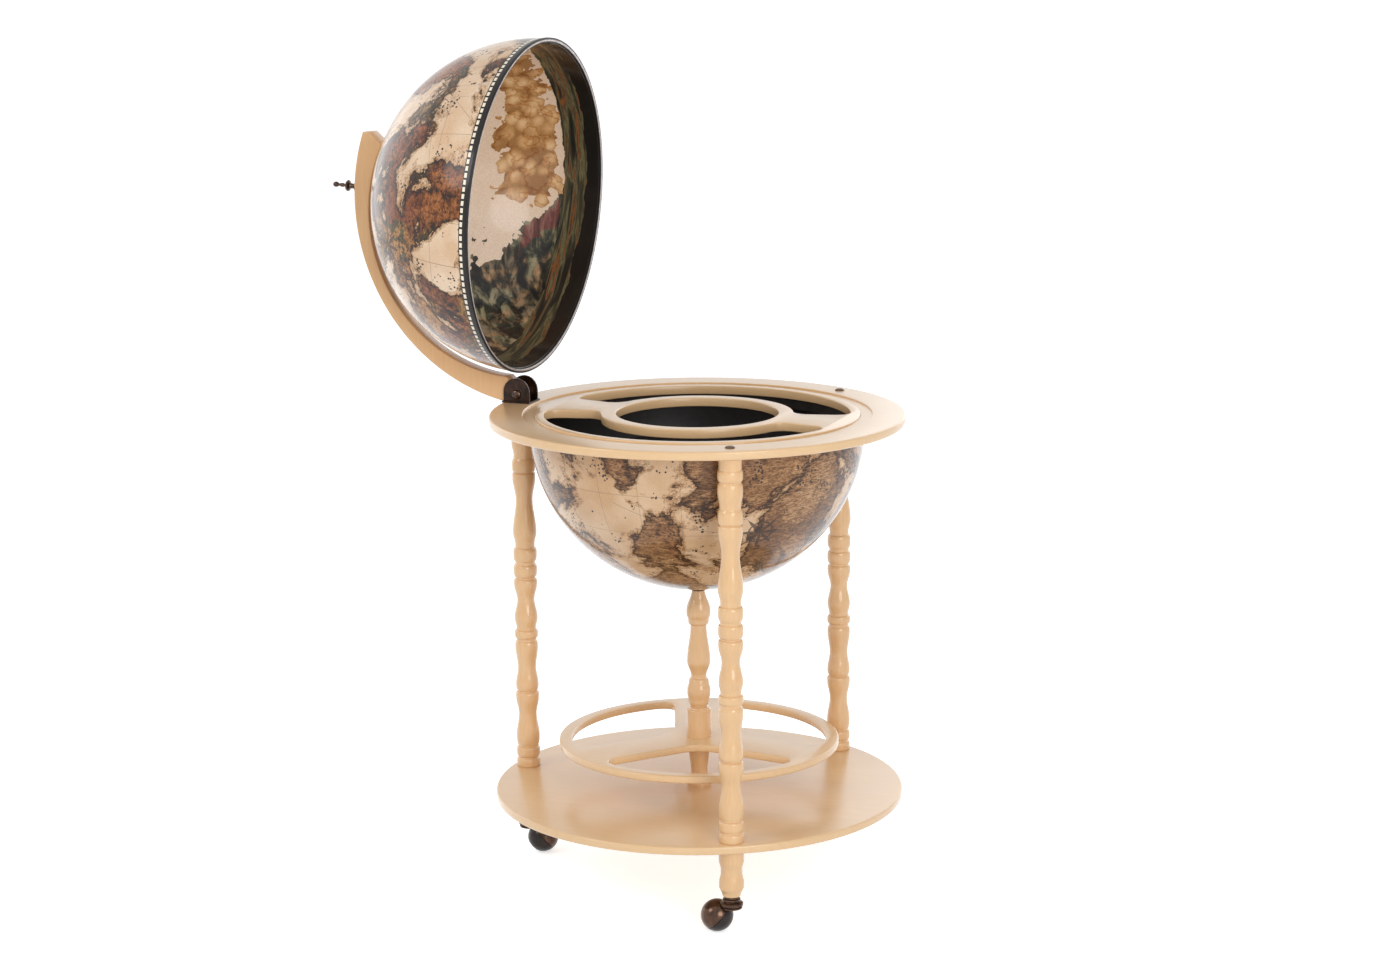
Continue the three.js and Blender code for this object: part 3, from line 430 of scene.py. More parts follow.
rack = cut_board(
    "bottle_rack_board", rack_outlines, rack_low.z, rack_high.z, rack_edge, board_lacquer)
place(rack, "stand", "lacquered_wood", "bottle_rack")


# Bowl. A moulded half globe under the table ring, 5 mm thick, covered outside with a printed sepia
# map under gloss varnish and sprayed black inside.
def varnish(tree, colour, fibre, softness, ior):
    """Ends the material of a print: paper, uneven by 0.02 mm, under a clear coat of varnish whose
    softness blurs what it reflects."""
    bump = add(tree, "Bump", {"Height": fibre, "Strength": 0.15, "Distance": 0.02 * mm})
    shader = add(tree, "BsdfPrincipled", {
        "Base Color": colour, "Roughness": 0.5, "Specular IOR Level": 0.2, "Normal": bump,
        "Coat Weight": 1.0, "Coat Roughness": softness, "Coat IOR": ior,
    })
    add(tree, "OutputMaterial", {"Surface": shader})


def printed_map(name, ball, seed, coast, sea, ink, washes, strokes, roses, rim_bands=False):
    """A map printed on paper that covers a globe, under varnish. The ball gives the globe's centre, its
    radius and its turn about x. Land is where a noise is higher than the coast level. Countries are
    washes of colour in cells with wandering borders, the coast is inked almost black with engraved
    lines beside it, and fine ink strokes cover the land."""
    made, tree, spot = finish(name)
    centre, radius, turn = ball
    local = add(tree, "Mapping", {
        "Vector": spot, "Location": centre, "Rotation": (turn, 0, 0), "Scale": (radius,) * 3,
    }, vector_type="TEXTURE")
    unit = add(tree, "VectorMath NORMALIZE", [local])
    x, y, z = add(tree, "SeparateXYZ", [unit]).outputs

    # Land and sea, and the countries' washes of colour
    land_gap, border_gap, country_gap = 107 * mm, 37 * mm, 66 * mm
    land = add(tree, "TexNoise", {
        "Vector": unit, "W": seed, "Scale": radius / land_gap, "Detail": 10.0, "Roughness": 0.58,
        "Distortion": 0.5,
    }, noise_dimensions="4D")
    inland = add(tree, "Math GREATER_THAN", [land, coast])
    wander = add(tree, "TexNoise", {
        "Vector": unit, "Scale": radius / border_gap, "Detail": 6.0, "Roughness": 0.65,
    })
    wander = add(tree, "VectorMath SCALE", {0: wander.outputs["Color"], "Scale": 0.45})
    loose = add(tree, "VectorMath ADD", [unit, wander])
    countries = add(tree, "TexVoronoi", {
        "Vector": loose, "W": seed, "Scale": radius / country_gap, "Smoothness": 0.12,
    }, voronoi_dimensions="4D", feature="SMOOTH_F1")
    country = add(tree, "SeparateColor", [countries.outputs["Color"]])
    wash = add(tree, "ValToRGB", [country], stops=washes)
    colour = add(tree, "Mix", [inland, hue(sea), wash], data_type="RGBA")

    # Ink strokes on the land, shading 17 mm apart and fine lines 6 mm apart, and the coast's dark line
    shading_gap, line_gap = 17 * mm, 6.2 * mm
    ink_strength, shore_wander = 0.85, 0.16
    drawn_out = add(tree, "VectorMath MULTIPLY", [unit, strokes])
    relief = add(tree, "TexNoise", {
        "Vector": drawn_out, "W": seed, "Scale": radius / shading_gap, "Detail": 9.0, "Roughness": 0.78,
        "Distortion": 0.9,
    }, noise_dimensions="4D")
    hachures = add(tree, "ValToRGB", [relief], stops=[
        (0.36, "#4A3525"), (0.43, "#9A7D5F"), (0.49, "#E8D9C6"), (0.55, "#FFFFFF"),
    ])
    fine = add(tree, "TexNoise", {
        "Vector": drawn_out, "Scale": radius / line_gap, "Detail": 4.0, "Roughness": 0.7,
        "Distortion": 0.5,
    })
    fine_lines = add(tree, "ValToRGB", [fine], stops=[
        (0.38, "#6E543B"), (0.46, "#D3BFA6"), (0.53, "#FFFFFF"),
    ])
    hachures = add(tree, "Mix", [1.0, hachures, fine_lines], data_type="RGBA", blend_type="MULTIPLY")
    share = add(tree, "Math MULTIPLY", [inland, ink_strength])
    colour = add(tree, "Mix", [share, colour, hachures], data_type="RGBA", blend_type="MULTIPLY")
    ragged = add(tree, "Math SUBTRACT", [relief, 0.5])
    ragged = add(tree, "Math MULTIPLY", [ragged, shore_wander])
    ragged = add(tree, "Math ADD", [land, ragged])
    shore = add(tree, "ValToRGB", [ragged], stops=[
        (coast - 0.035, "#FFFFFF"), (coast - 0.004, "#D9BF9C"), (coast, ink),
        (coast + 0.01, ink), (coast + 0.02, "#A8977A"), (coast + 0.05, "#FFFFFF"),
    ])
    colour = add(tree, "Mix", [0.95, colour, shore], data_type="RGBA", blend_type="MULTIPLY")

    # Hill dots on land, islands in clusters at sea, and engraved lines along the coast
    dot_gap, cluster_gap = 5 * mm, 32 * mm
    hill_size, hill_level, island_size, island_level = 0.28, 0.53, 0.33, 0.57
    wave_gap, wave_line, wave_reach, mark_strength = 0.007, 0.0016, 0.03, 0.65
    dots = add(tree, "TexVoronoi", {"Vector": unit, "Scale": radius / dot_gap}).outputs["Distance"]
    hills = add(tree, "Math LESS_THAN", [dots, hill_size])
    group = add(tree, "Math GREATER_THAN", [relief, hill_level])
    hills = add(tree, "Math MULTIPLY", [hills, group])
    hills = add(tree, "Math MULTIPLY", [hills, inland])
    clusters = add(tree, "TexNoise", {"Vector": unit, "Scale": radius / cluster_gap, "Detail": 2.0})
    islands = add(tree, "Math GREATER_THAN", [clusters, island_level])
    specks = add(tree, "Math LESS_THAN", [dots, island_size])
    islands = add(tree, "Math MULTIPLY", [islands, specks])
    from_coast = add(tree, "Math SUBTRACT", [coast, land])
    waves = add(tree, "Math PINGPONG", [from_coast, wave_gap])
    engraved = add(tree, "Math LESS_THAN", [waves, wave_line])
    near = add(tree, "Math LESS_THAN", [from_coast, wave_reach])
    engraved = add(tree, "Math MULTIPLY", [engraved, near])
    at_sea = add(tree, "Math SUBTRACT", [1.0, inland])
    engraved = add(tree, "Math MULTIPLY", [engraved, at_sea])
    marks = add(tree, "Math MAXIMUM", [hills, engraved])
    marks = add(tree, "Math MULTIPLY", [marks, mark_strength])
    marks = add(tree, "Math MAXIMUM", [marks, islands])

    # The net of latitude and longitude
    step, half_line, line_strength = np.radians(15), 0.4 * mm / radius, 0.4
    latitude = add(tree, "Math ARCSINE", [z])
    longitude = add(tree, "Math ARCTAN2", [y, x])
    for angle in (latitude, longitude):
        beside = add(tree, "Math PINGPONG", [angle, step / 2])
        line = add(tree, "Math LESS_THAN", [beside, half_line])
        line = add(tree, "Math MULTIPLY", [line, line_strength])
        marks = add(tree, "Math MAXIMUM", [marks, line])

    # Compass roses: eight-pointed stars with a ring, and thin bearings that run out over the sea.
    # Reaches are shares of the rose's size.
    point_spread, ring_reach, ring_half, rose_strength = 0.34, 0.58, 0.035, 0.85
    ray_half, ray_reach, ray_strength = 0.015, 6.0, 0.45
    for direction, size in roses:
        aim = Vector(direction).to_track_quat("Z", "Y").to_euler()
        flat = add(tree, "Mapping", {
            "Vector": unit, "Rotation": aim, "Scale": (size,) * 3,
        }, vector_type="TEXTURE")
        across, along, above = add(tree, "SeparateXYZ", [flat]).outputs
        facing = add(tree, "Math GREATER_THAN", [above, 0.0])
        bearing = add(tree, "Math ARCTAN2", [along, across])
        from_point = add(tree, "Math PINGPONG", [bearing, np.pi / 8])
        reach = add(tree, "CombineXYZ", [across, along])
        reach = add(tree, "VectorMath LENGTH", [reach]).outputs["Value"]
        point_width = add(tree, "Math SUBTRACT", [1.0, reach])
        point_width = add(tree, "Math MULTIPLY", [point_width, point_spread])
        star = add(tree, "Math LESS_THAN", [from_point, point_width])
        ring = add(tree, "Math COMPARE", [reach, ring_reach, ring_half])
        rose = add(tree, "Math MAXIMUM", [star, ring])
        rose = add(tree, "Math MULTIPLY", [rose, rose_strength])
        off_bearing = add(tree, "Math MULTIPLY", [from_point, reach])
        ray = add(tree, "Math LESS_THAN", [off_bearing, ray_half])
        ray_end = add(tree, "Math LESS_THAN", [reach, ray_reach])
        ray = add(tree, "Math MULTIPLY", [ray, ray_end])
        ray = add(tree, "Math MULTIPLY", [ray, at_sea])
        ray = add(tree, "Math MULTIPLY", [ray, ray_strength])
        rose = add(tree, "Math MAXIMUM", [rose, ray])
        rose = add(tree, "Math MULTIPLY", [rose, facing])
        marks = add(tree, "Math MAXIMUM", [marks, rose])
    colour = add(tree, "Mix", [marks, colour, hue("#3B2A1E")], data_type="RGBA")

    # Age: pale brown stains 60 mm wide, and paper fibre of 1.5 mm
    stain_gap, fibre_gap = 60 * mm, 1.5 * mm
    stains = add(tree, "TexNoise", {"Vector": spot, "Scale": 1 / stain_gap, "Detail": 4.0})
    stain = add(tree, "ValToRGB", [stains], stops=[(0.35, "#E6D2B8"), (0.6, "#FFFFFF")])
    colour = add(tree, "Mix", [0.7, colour, stain], data_type="RGBA", blend_type="MULTIPLY")
    fibre = add(tree, "TexNoise", {"Vector": spot, "Scale": 1 / fibre_gap, "Detail": 2.0})
    fibre_tone = add(tree, "ValToRGB", [fibre], stops=[(0.3, "#E9E1D4"), (0.6, "#FFFFFF")])
    colour = add(tree, "Mix", [0.6, colour, fibre_tone], data_type="RGBA", blend_type="MULTIPLY")

    # Round the lid's rim: a plain black band, then a row of 156 white dashes between thin black lines
    if rim_bands:
        bands_top, dash_middle, dash_half = 13 * mm / radius, 9.8 * mm / radius, 1.9 * mm / radius
        share = add(tree, "Math LESS_THAN", [z, bands_top])
        colour = add(tree, "Mix", [share, colour, hue("#1B1512")], data_type="RGBA")
        in_row = add(tree, "Math COMPARE", [z, dash_middle, dash_half])
        dash_step, dash_share = 2 * np.pi / 156, 0.34
        dash = add(tree, "Math PINGPONG", [longitude, dash_step / 2])
        dash = add(tree, "Math LESS_THAN", [dash, dash_step * dash_share])
        dash = add(tree, "Math MULTIPLY", [dash, in_row])
        colour = add(tree, "Mix", [dash, colour, hue("#EFE3CE")], data_type="RGBA")
    varnish(tree, colour, fibre, softness=0.13, ior=1.27)
    return made


def half_ball(name, centre, outer, inner, high, material, hole):
    """A half shell, hollow side up, from a hole at its pole to a height above its centre: up the outer
    ball, over a small round at the rim, and down the inner ball."""
    edge, rings = 0.6 * mm, 96
    outer_rim, inner_rim = np.sqrt(outer**2 - high**2), np.sqrt(inner**2 - high**2)
    foot = np.arcsin(hole / outer), np.arcsin(hole / inner)
    outside = np.linspace(foot[0], np.arccos(-(high - edge) / outer), rings)
    inside = np.linspace(np.arccos(-(high - edge) / inner), foot[1], rings)
    rows = np.vstack([
        np.column_stack([outer * np.sin(outside), -outer * np.cos(outside)]),
        [[outer_rim - edge, high], [inner_rim + edge, high]],
        np.column_stack([inner * np.sin(inside), -inner * np.cos(inside)]),
    ])
    outline = np.vstack([rows, rows[:1]]) + (0, centre.z)
    return revolve(name, outline, centre, material, 192)


def second_finish(piece, material, chosen):
    """Gives a second material to the faces whose centres pass a test."""
    piece.data.materials.append(material)
    centres = np.empty((len(piece.data.polygons), 3), np.float32)
    piece.data.polygons.foreach_get("center", centres.ravel())
    piece.data.polygons.foreach_set("material_index", chosen(centres).astype(np.int32))


bowl_low, bowl_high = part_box("bowl_shell")
globe_radius = (bowl_high.x - bowl_low.x) / 2
bowl_wall = 5 * mm
bowl_centre = Vector((axis.x, axis.y, bowl_low.z + globe_radius))
bowl_washes = [(0.0, "#BC966D"), (0.3, "#A27C57"), (0.5, "#C6A27B"), (0.7, "#B08A61"), (0.9, "#9A7857")]
bowl_roses = [((-0.62, -0.62, -0.5), 0.13), ((0.55, -0.7, -0.45), 0.11), ((0.2, 0.85, -0.45), 0.13)]
bowl_print = printed_map(
    "varnished_sepia_map_print", (bowl_centre, globe_radius, 0.0), seed=3.7, coast=0.475, sea="#D9BA98",
    ink="#3F2E21", washes=bowl_washes, strokes=(1.0, 1.0, 4.5), roses=bowl_roses)
black_paint = moulded_plastic("black_paint_on_moulded_shell", "#1C1716", "#120F0E", 0.45)
bowl_middle = globe_radius - bowl_wall / 2
bowl = half_ball(
    "printed_bowl", bowl_centre, globe_radius, globe_radius - bowl_wall, bowl_high.z - bowl_centre.z,
    bowl_print, rod_bore)
second_finish(bowl, black_paint, lambda at: np.linalg.norm(at - bowl_centre, axis=1) < bowl_middle)
place(bowl, "stand", "globe_print", "bowl_shell")


# Boards inside the bowl. A hoop inside the rim carries the plate, and below it lie a ring-shaped
# shelf and a round floor, all of thin fibreboard under matt black paint.
black_board = moulded_plastic("matt_black_paint_on_fibreboard", "#231D1B", "#171312", 0.6)
board_edge = 1 * mm
board_bores = [
    ("bowl_hoop", "plate_hoop", 209.5 * mm),
    ("glass_shelf", "glass_shelf_board", 109 * mm),
    ("bottle_floor", "bottle_floor_board", 0),
]
for node, name, bore in board_bores:
    low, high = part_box(node)
    rim = round_rim((high.x - low.x) / 2, low.z, high.z, board_edge, 3)
    inner_wall = [[bore, high.z], [bore, low.z]] if bore else [[0, high.z]]
    board = revolve(name, np.vstack([[[bore, low.z]], rim, inner_wall]), axis, black_board, 144)
    place(board, "stand", "black_plastic", node)


# Table ring. A round board like the shelf, routed round its inner edge so that the lid's rim drops
# into a shallow channel, and screwed down on the legs.
ring_low, ring_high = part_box("table_ring")
ring_radius = (ring_high.x - ring_low.x) / 2
ring_bore, channel_radius, channel_depth, ring_edge = 218.8 * mm, 234 * mm, 2.5 * mm, 3 * mm
channel_edge = 0.8 * mm
ring_outline = np.vstack([
    [[ring_bore, ring_low.z]], round_rim(ring_radius, ring_low.z, ring_high.z, ring_edge, 8),
    [[channel_radius + channel_edge, ring_high.z], [channel_radius, ring_high.z - channel_edge]],
    [[channel_radius, ring_high.z - channel_depth], [ring_bore, ring_high.z - channel_depth]],
    [[ring_bore, ring_low.z]],
])
table_ring = revolve("table_ring_board", ring_outline, axis, board_lacquer, 240)
place(table_ring, "stand", "lacquered_wood", "table_ring")


# Screw caps. Brown moulded domes that plug the screw holes over the left and right legs. The hinge
# bracket covers the third hole.
cap_brown = moulded_plastic("brown_moulded_cap_plastic", "#6E5643", "#5A4535", 0.35)
cap_dome = np.array([
    [0, 0], [0.62, 0], [0.62, 0.57], [1, 0.58], [1, 0.64], [0.9, 0.78], [0.7, 0.9], [0.4, 0.97],
    [0, 1],
])
for side in ("left", "right"):
    low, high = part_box(f"{side}_screw_cap")
    rows = cap_dome * ((high.x - low.x) / 2, high.z - low.z) + (0, low.z)
    cap = revolve(f"{side}_cap_dome", rows, (low + high) / 2, cap_brown, 40, 50)
    place(cap, "stand", "cap_plastic", f"{side}_screw_cap")


# Insert plate. The serving board inside the ring, with a round well in its middle and a kidney slot
# on each side, routed with a small round along every edge.
def toward(radius, angle):
    """The point on a circle about the origin that lies at an angle."""
    return radius * np.array([np.cos(angle), np.sin(angle)])


def kidney(inner, outer, middle, half_span, corner):
    """A slot between two circles about the origin, with its four corners rounded."""
    low, high = middle - half_span, middle + half_span
    outer_trim, inner_trim = corner / outer, corner / inner
    return np.vstack([
        arc(outer, low + outer_trim, high - outer_trim, 64)[:-1],
        fillet(toward(outer, high - outer_trim), toward(outer, high), toward(inner, high), corner)[:-1],
        fillet(toward(outer, high), toward(inner, high), toward(inner, high - inner_trim), corner)[:-1],
        arc(inner, high - inner_trim, low + inner_trim, 48)[:-1],
        fillet(toward(inner, low + inner_trim), toward(inner, low), toward(outer, low), corner)[:-1],
        fillet(toward(inner, low), toward(outer, low), toward(outer, low + outer_trim), corner)[:-1],
    ])


plate_low, plate_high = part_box("insert_plate")
plate_radius, well_radius, plate_edge = (plate_high.x - plate_low.x) / 2, 109 * mm, 1.5 * mm
slot_inner, slot_outer, slot_corner, slot_half_span = 129 * mm, 205.5 * mm, 24 * mm, np.radians(77)
plate_outlines = [
    arc(plate_radius, 0, 2 * np.pi, 192, axis)[:-1], arc(well_radius, 0, 2 * np.pi, 96, axis)[:-1],
]
for middle in (0, np.pi):
    slot = kidney(slot_inner, slot_outer, middle, slot_half_span, slot_corner)
    plate_outlines.append(slot + (axis.x, axis.y))
plate = cut_board(
    "serving_plate_board", plate_outlines, plate_low.z, plate_high.z, plate_edge, board_lacquer)
place(plate, "stand", "lacquered_wood", "insert_plate")


# Hinge. A bracket folded from steel sheet stands on the ring, with two round-topped ears, and a bolt
# with a domed head goes through them and the foot of the arc. All of it is plated dark bronze, the
# bolt in a lighter bronze that is painted highlight.
dark_bronze = plated_bronze("dark_bronze_plated_steel", "#3A2519", "#1F130D", 0.28, 0.1)


def bevelled(node, name, material, width):
    """A CAD node's own shape with its sharp edges rounded, put in the node's place on the stand."""
    piece = show(name, frame["nodes"][node].data.copy())
    work = bmesh.new()
    work.from_mesh(piece.data)
    bmesh.ops.dissolve_limit(work, angle_limit=np.radians(1), verts=work.verts, edges=work.edges)
    sharp = np.radians(40)
    edges = [edge for edge in work.edges if edge.is_manifold and edge.calc_face_angle() > sharp]
    bmesh.ops.bevel(
        work, geom=edges, offset=width, segments=2, profile=0.5, affect="EDGES", clamp_overlap=True)
    work.to_mesh(piece.data)
    work.free()
    piece.data.shade_smooth()
    piece.data.set_sharp_from_angle(angle=np.radians(30))
    piece.data.materials.clear()
    piece.data.materials.append(material)
    place(piece, "stand", "bronze_steel", node)


for node, name in (("hinge_bracket", "folded_hinge_bracket"), ("hinge_nut", "hinge_bolt_nut")):
    bevelled(node, name, dark_bronze, 0.5 * mm)
plate_nodes(dark_bronze, "inner_bracket_screw", "outer_bracket_screw")
pivot = Vector(joints["lid_hinge"]["pos_m"])
bolt_low, bolt_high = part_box("hinge_bolt")
bolt_radius, head_radius, head_height = 4 * mm, 6.5 * mm, 3.2 * mm
bolt_rows = np.vstack([
    [[0, bolt_low.x], [0.3 * head_radius, bolt_low.x]],
    [[0.62 * head_radius, bolt_low.x + 0.4 * mm], [0.86 * head_radius, bolt_low.x + 1 * mm]],
    [[0.97 * head_radius, bolt_low.x + 1.8 * mm], [head_radius, bolt_low.x + 2.4 * mm]],
    [[head_radius, bolt_low.x + head_height], [bolt_radius, bolt_low.x + head_height]],
    [[bolt_radius, bolt_high.x], [0, bolt_high.x]],
])
# The bolt's bronze is lighter than the bracket's as a painted highlight, to brighten the shine on its
# domed head.
highlight_lightened_bronze = plated_bronze("bronze_plated_bolt_steel_lightened_for_painted_highlight", "#5A4234", "#33241B", 0.14)
bolt = revolve("hinge_bolt_turned", bolt_rows, (0, 0), highlight_lightened_bronze, 48)
lie_across = Matrix.Rotation(np.pi / 2, 4, "Y")
bolt.data.transform(Matrix.Translation((0, pivot.y, pivot.z)) @ lie_across)
place(bolt, "stand", "bronze_steel", "hinge_bolt")


# Lid. A moulded half globe under the same sort of map in stronger colours, a printed paper lining
# inside it, and a drawn metal trim on the rim, painted black but for a bright line 2.5 mm wide round
# its face. It is made closed and swung open.
open_angle = np.radians(86.2)
opened = Matrix.Translation(pivot) @ Matrix.Rotation(-open_angle, 4, "X") @ Matrix.Translation(-pivot)
lid_wall, lining_wall, band_height, rim_gap = 4.6 * mm, 1 * mm, 3 * mm, 0.3 * mm
channel_floor = ring_high.z - channel_depth
closed_centre = Vector((axis.x, axis.y, channel_floor + rim_gap))
lid_centre = opened @ closed_centre
lid_washes = [
    (0.0, "#CE9059"), (0.22, "#8E503C"), (0.4, "#D2A466"), (0.58, "#5A5C3B"), (0.75, "#BF7A45"),
    (0.95, "#734131"),
]
lid_roses = [((-0.75, 0.2, 0.6), 0.12), ((-0.6, -0.72, 0.35), 0.1), ((0.7, 0.1, 0.65), 0.13)]
lid_print = printed_map(
    "varnished_antique_map_print", (lid_centre, globe_radius, -open_angle), seed=11.3, coast=0.5,
    sea="#E9CFB4", ink="#23241B", washes=lid_washes, strokes=(1.2, 1.2, 1.8), roses=lid_roses,
    rim_bands=True)


def painted_lining(name, ball):
    """A printed painting. Where down is the way to the hinge and depth the way from the rim: pale sky,
    a bank of golden clouds as round puffs 21 mm across, hills below in dark strokes that run down,
    maroon rocks between, brown and olive streaks that run round near the rim, and a black edge about
    24 mm wide. Depths and heights are shares of the radius."""
    made, tree, spot = finish(name)
    centre, radius, turn = ball
    local = add(tree, "Mapping", {
        "Vector": spot, "Location": centre, "Rotation": (turn, 0, 0), "Scale": (radius,) * 3,
    }, vector_type="TEXTURE")
    _, down, depth = add(tree, "SeparateXYZ", [local]).outputs
    drift_gap, drift_reach = 73 * mm, 0.9
    drift = add(tree, "TexNoise", {
        "Vector": local, "Scale": radius / drift_gap, "Detail": 5.0, "Roughness": 0.55,
    })
    drift = add(tree, "Math SUBTRACT", [drift, 0.5])

    # Sky, paler in its middle
    ragged = add(tree, "Math MULTIPLY", [drift, drift_reach])
    level = add(tree, "Math ADD", [down, ragged])
    colour = add(tree, "ValToRGB", [level], stops=[
        (0.0, "#F2D8BE"), (0.3, "#F5DFC9"), (0.7, "#D9BB9F"),
    ])

    # Clouds: each puff is a cell of a Voronoi pattern, pale in its middle and brown at its edge. The
    # bank is solid where it is deep, and ends in whole round puffs.
    puff_gap, billow_gap = 21 * mm, 24.5 * mm
    bend = add(tree, "TexNoise", {"Vector": local, "Scale": radius / billow_gap, "Detail": 2.0})
    bend = add(tree, "VectorMath SCALE", {0: bend.outputs["Color"], "Scale": 0.09})
    loose = add(tree, "VectorMath ADD", [local, bend])
    puffs = add(tree, "TexVoronoi", {"Vector": loose, "Scale": radius / puff_gap, "Randomness": 1.0})
    soft = add(tree, "TexVoronoi", {
        "Vector": loose, "Scale": radius / puff_gap, "Randomness": 1.0, "Smoothness": 0.2,
    }, feature="SMOOTH_F1")
    puff = add(tree, "ValToRGB", [soft.outputs["Distance"]], stops=[
        (0.0, "#F0CD9E"), (0.2, "#EBC491"), (0.36, "#DEB07B"), (0.5, "#CA9963"),
        (0.66, "#AC7C4B"),
    ])
    billow = add(tree, "TexNoise", {
        "Vector": local, "Scale": radius / billow_gap, "Detail": 3.0, "Distortion": 0.3,
    })
    billow = add(tree, "Math SUBTRACT", [billow, 0.5])
    billow = add(tree, "Math ABSOLUTE", [billow])
    crease = add(tree, "ValToRGB", [billow], stops=[
        (0.0, "#BA8B5E"), (0.012, "#E3C69E"), (0.05, "#FFFFFF"),
    ])
    cloud = add(tree, "Mix", [0.75, puff, crease], data_type="RGBA", blend_type="MULTIPLY")
    bank_depth, bank_height, puff_size, in_bank = 0.45, -0.07, 0.52, []
    for where, reach in ((local, 0.14), (puffs.outputs["Position"], 0.22)):
        _, down_at, depth_at = add(tree, "SeparateXYZ", [where]).outputs
        off_middle = add(tree, "Math SUBTRACT", [depth_at, bank_depth])
        off_middle = add(tree, "Math ABSOLUTE", [off_middle])
        off_middle = add(tree, "Math ADD", [off_middle, ragged])
        inside = add(tree, "Math LESS_THAN", [off_middle, reach])
        high_up = add(tree, "Math LESS_THAN", [down_at, reach + bank_height])
        in_bank.append(add(tree, "Math MULTIPLY", [inside, high_up]))
    round_end = add(tree, "Math LESS_THAN", [puffs.outputs["Distance"], puff_size])
    round_end = add(tree, "Math MULTIPLY", [in_bank[1], round_end])
    bank = add(tree, "Math MAXIMUM", [in_bank[0], round_end])
    colour = add(tree, "Mix", [bank, colour, cloud], data_type="RGBA")

    # Hills: noise drawn out into brush strokes that run down, from black hollows to pale crests, with
    # brown and green parts
    stroke_width, stroke_length, patch_gap = 21 * mm, 130 * mm, 44 * mm
    swept = add(tree, "Mapping", {
        "Vector": local, "Rotation": (0.35, 0.2, 0.3),
        "Scale": (radius / stroke_width, radius / stroke_length, radius / stroke_width),
    })
    stroke = add(tree, "TexNoise", {
        "Vector": swept, "Scale": 1.0, "Detail": 6.0, "Roughness": 0.6, "Distortion": 0.5,
    })
    hills = add(tree, "ValToRGB", [stroke], stops=[
        (0.37, "#1B1815"), (0.45, "#45443A"), (0.5, "#7E7B66"), (0.55, "#BDB294"),
        (0.62, "#E0D3B6"),
    ])
    patches = add(tree, "TexNoise", {
        "Vector": local, "Scale": radius / patch_gap, "Detail": 4.0, "Distortion": 0.6,
    })
    patch = add(tree, "ValToRGB", [patches], stops=[
        (0.38, "#A9AA90"), (0.48, "#8F8F80"), (0.54, "#D39C70"), (0.62, "#6B5746"),
    ])
    hills = add(tree, "Mix", [0.75, hills, patch], data_type="RGBA", blend_type="MULTIPLY")
    skyline_slope, skyline_height = 0.7, -0.1
    skyline = add(tree, "Math MULTIPLY", [depth, skyline_slope])
    skyline = add(tree, "Math SUBTRACT", [level, skyline])
    low_down = add(tree, "Math GREATER_THAN", [skyline, skyline_height])
    colour = add(tree, "Mix", [low_down, colour, hills], data_type="RGBA")

    # Maroon rocks between the clouds and the hills
    rock = add(tree, "ValToRGB", [stroke], stops=[
        (0.4, "#3E2220"), (0.5, "#733C34"), (0.6, "#A3756A"),
    ])
    rock_depth, rock_reach, rock_height = 0.36, 0.1, 0.08
    rocks = add(tree, "Math COMPARE", [skyline, 0.0, rock_height])
    by_bank = add(tree, "Math COMPARE", [depth, rock_depth, rock_reach])
    rocks = add(tree, "Math MULTIPLY", [rocks, by_bank])
    colour = add(tree, "Mix", [rocks, colour, rock], data_type="RGBA")

    # Streaks that run round near the rim, and the black edge
    streak_width, streak_length = 7.3 * mm, 92 * mm
    streaks_depth, black_depth, edge_wander = 0.25, 0.11, 0.12
    along_rim = add(tree, "Mapping", {
        "Vector": local,
        "Scale": (radius / streak_length, radius / streak_length, radius / streak_width),
    })
    streak = add(tree, "TexNoise", {"Vector": along_rim, "Scale": 1.0, "Detail": 5.0, "Distortion": 0.6})
    streaks = add(tree, "ValToRGB", [streak], stops=[
        (0.36, "#1D1814"), (0.47, "#45422F"), (0.52, "#77704F"), (0.56, "#4A4030"),
        (0.6, "#935B2E"), (0.64, "#3A3427"), (0.72, "#191512"),
    ])
    shift = add(tree, "Math MULTIPLY", [drift, edge_wander])
    from_rim = add(tree, "Math ADD", [depth, shift])
    share = add(tree, "Math LESS_THAN", [from_rim, streaks_depth])
    colour = add(tree, "Mix", [share, colour, streaks], data_type="RGBA")
    share = add(tree, "Math LESS_THAN", [from_rim, black_depth])
    colour = add(tree, "Mix", [share, colour, hue("#100D0B")], data_type="RGBA")

    # Fine paint grain of 2 mm
    grain_gap = 2 * mm
    grain = add(tree, "TexNoise", {"Vector": spot, "Scale": 1 / grain_gap, "Detail": 3.0})
    grain_tone = add(tree, "ValToRGB", [grain], stops=[(0.3, "#D9D0C6"), (0.62, "#FFFFFF")])
    colour = add(tree, "Mix", [0.5, colour, grain_tone], data_type="RGBA", blend_type="MULTIPLY")
    varnish(tree, colour, grain, softness=0.12, ior=1.3)
    return made


def lid_half_ball(name, outer, inner, material, hole):
    """A half shell over the closed lid's centre, from its rim band up to the pole, then swung open."""
    piece = half_ball(name, Vector((0, 0, 0)), outer, inner, -band_height, material, hole)
    flip = Matrix.Translation(closed_centre) @ Matrix.Rotation(np.pi, 4, "X")
    piece.data.transform(opened @ flip)
    return piece


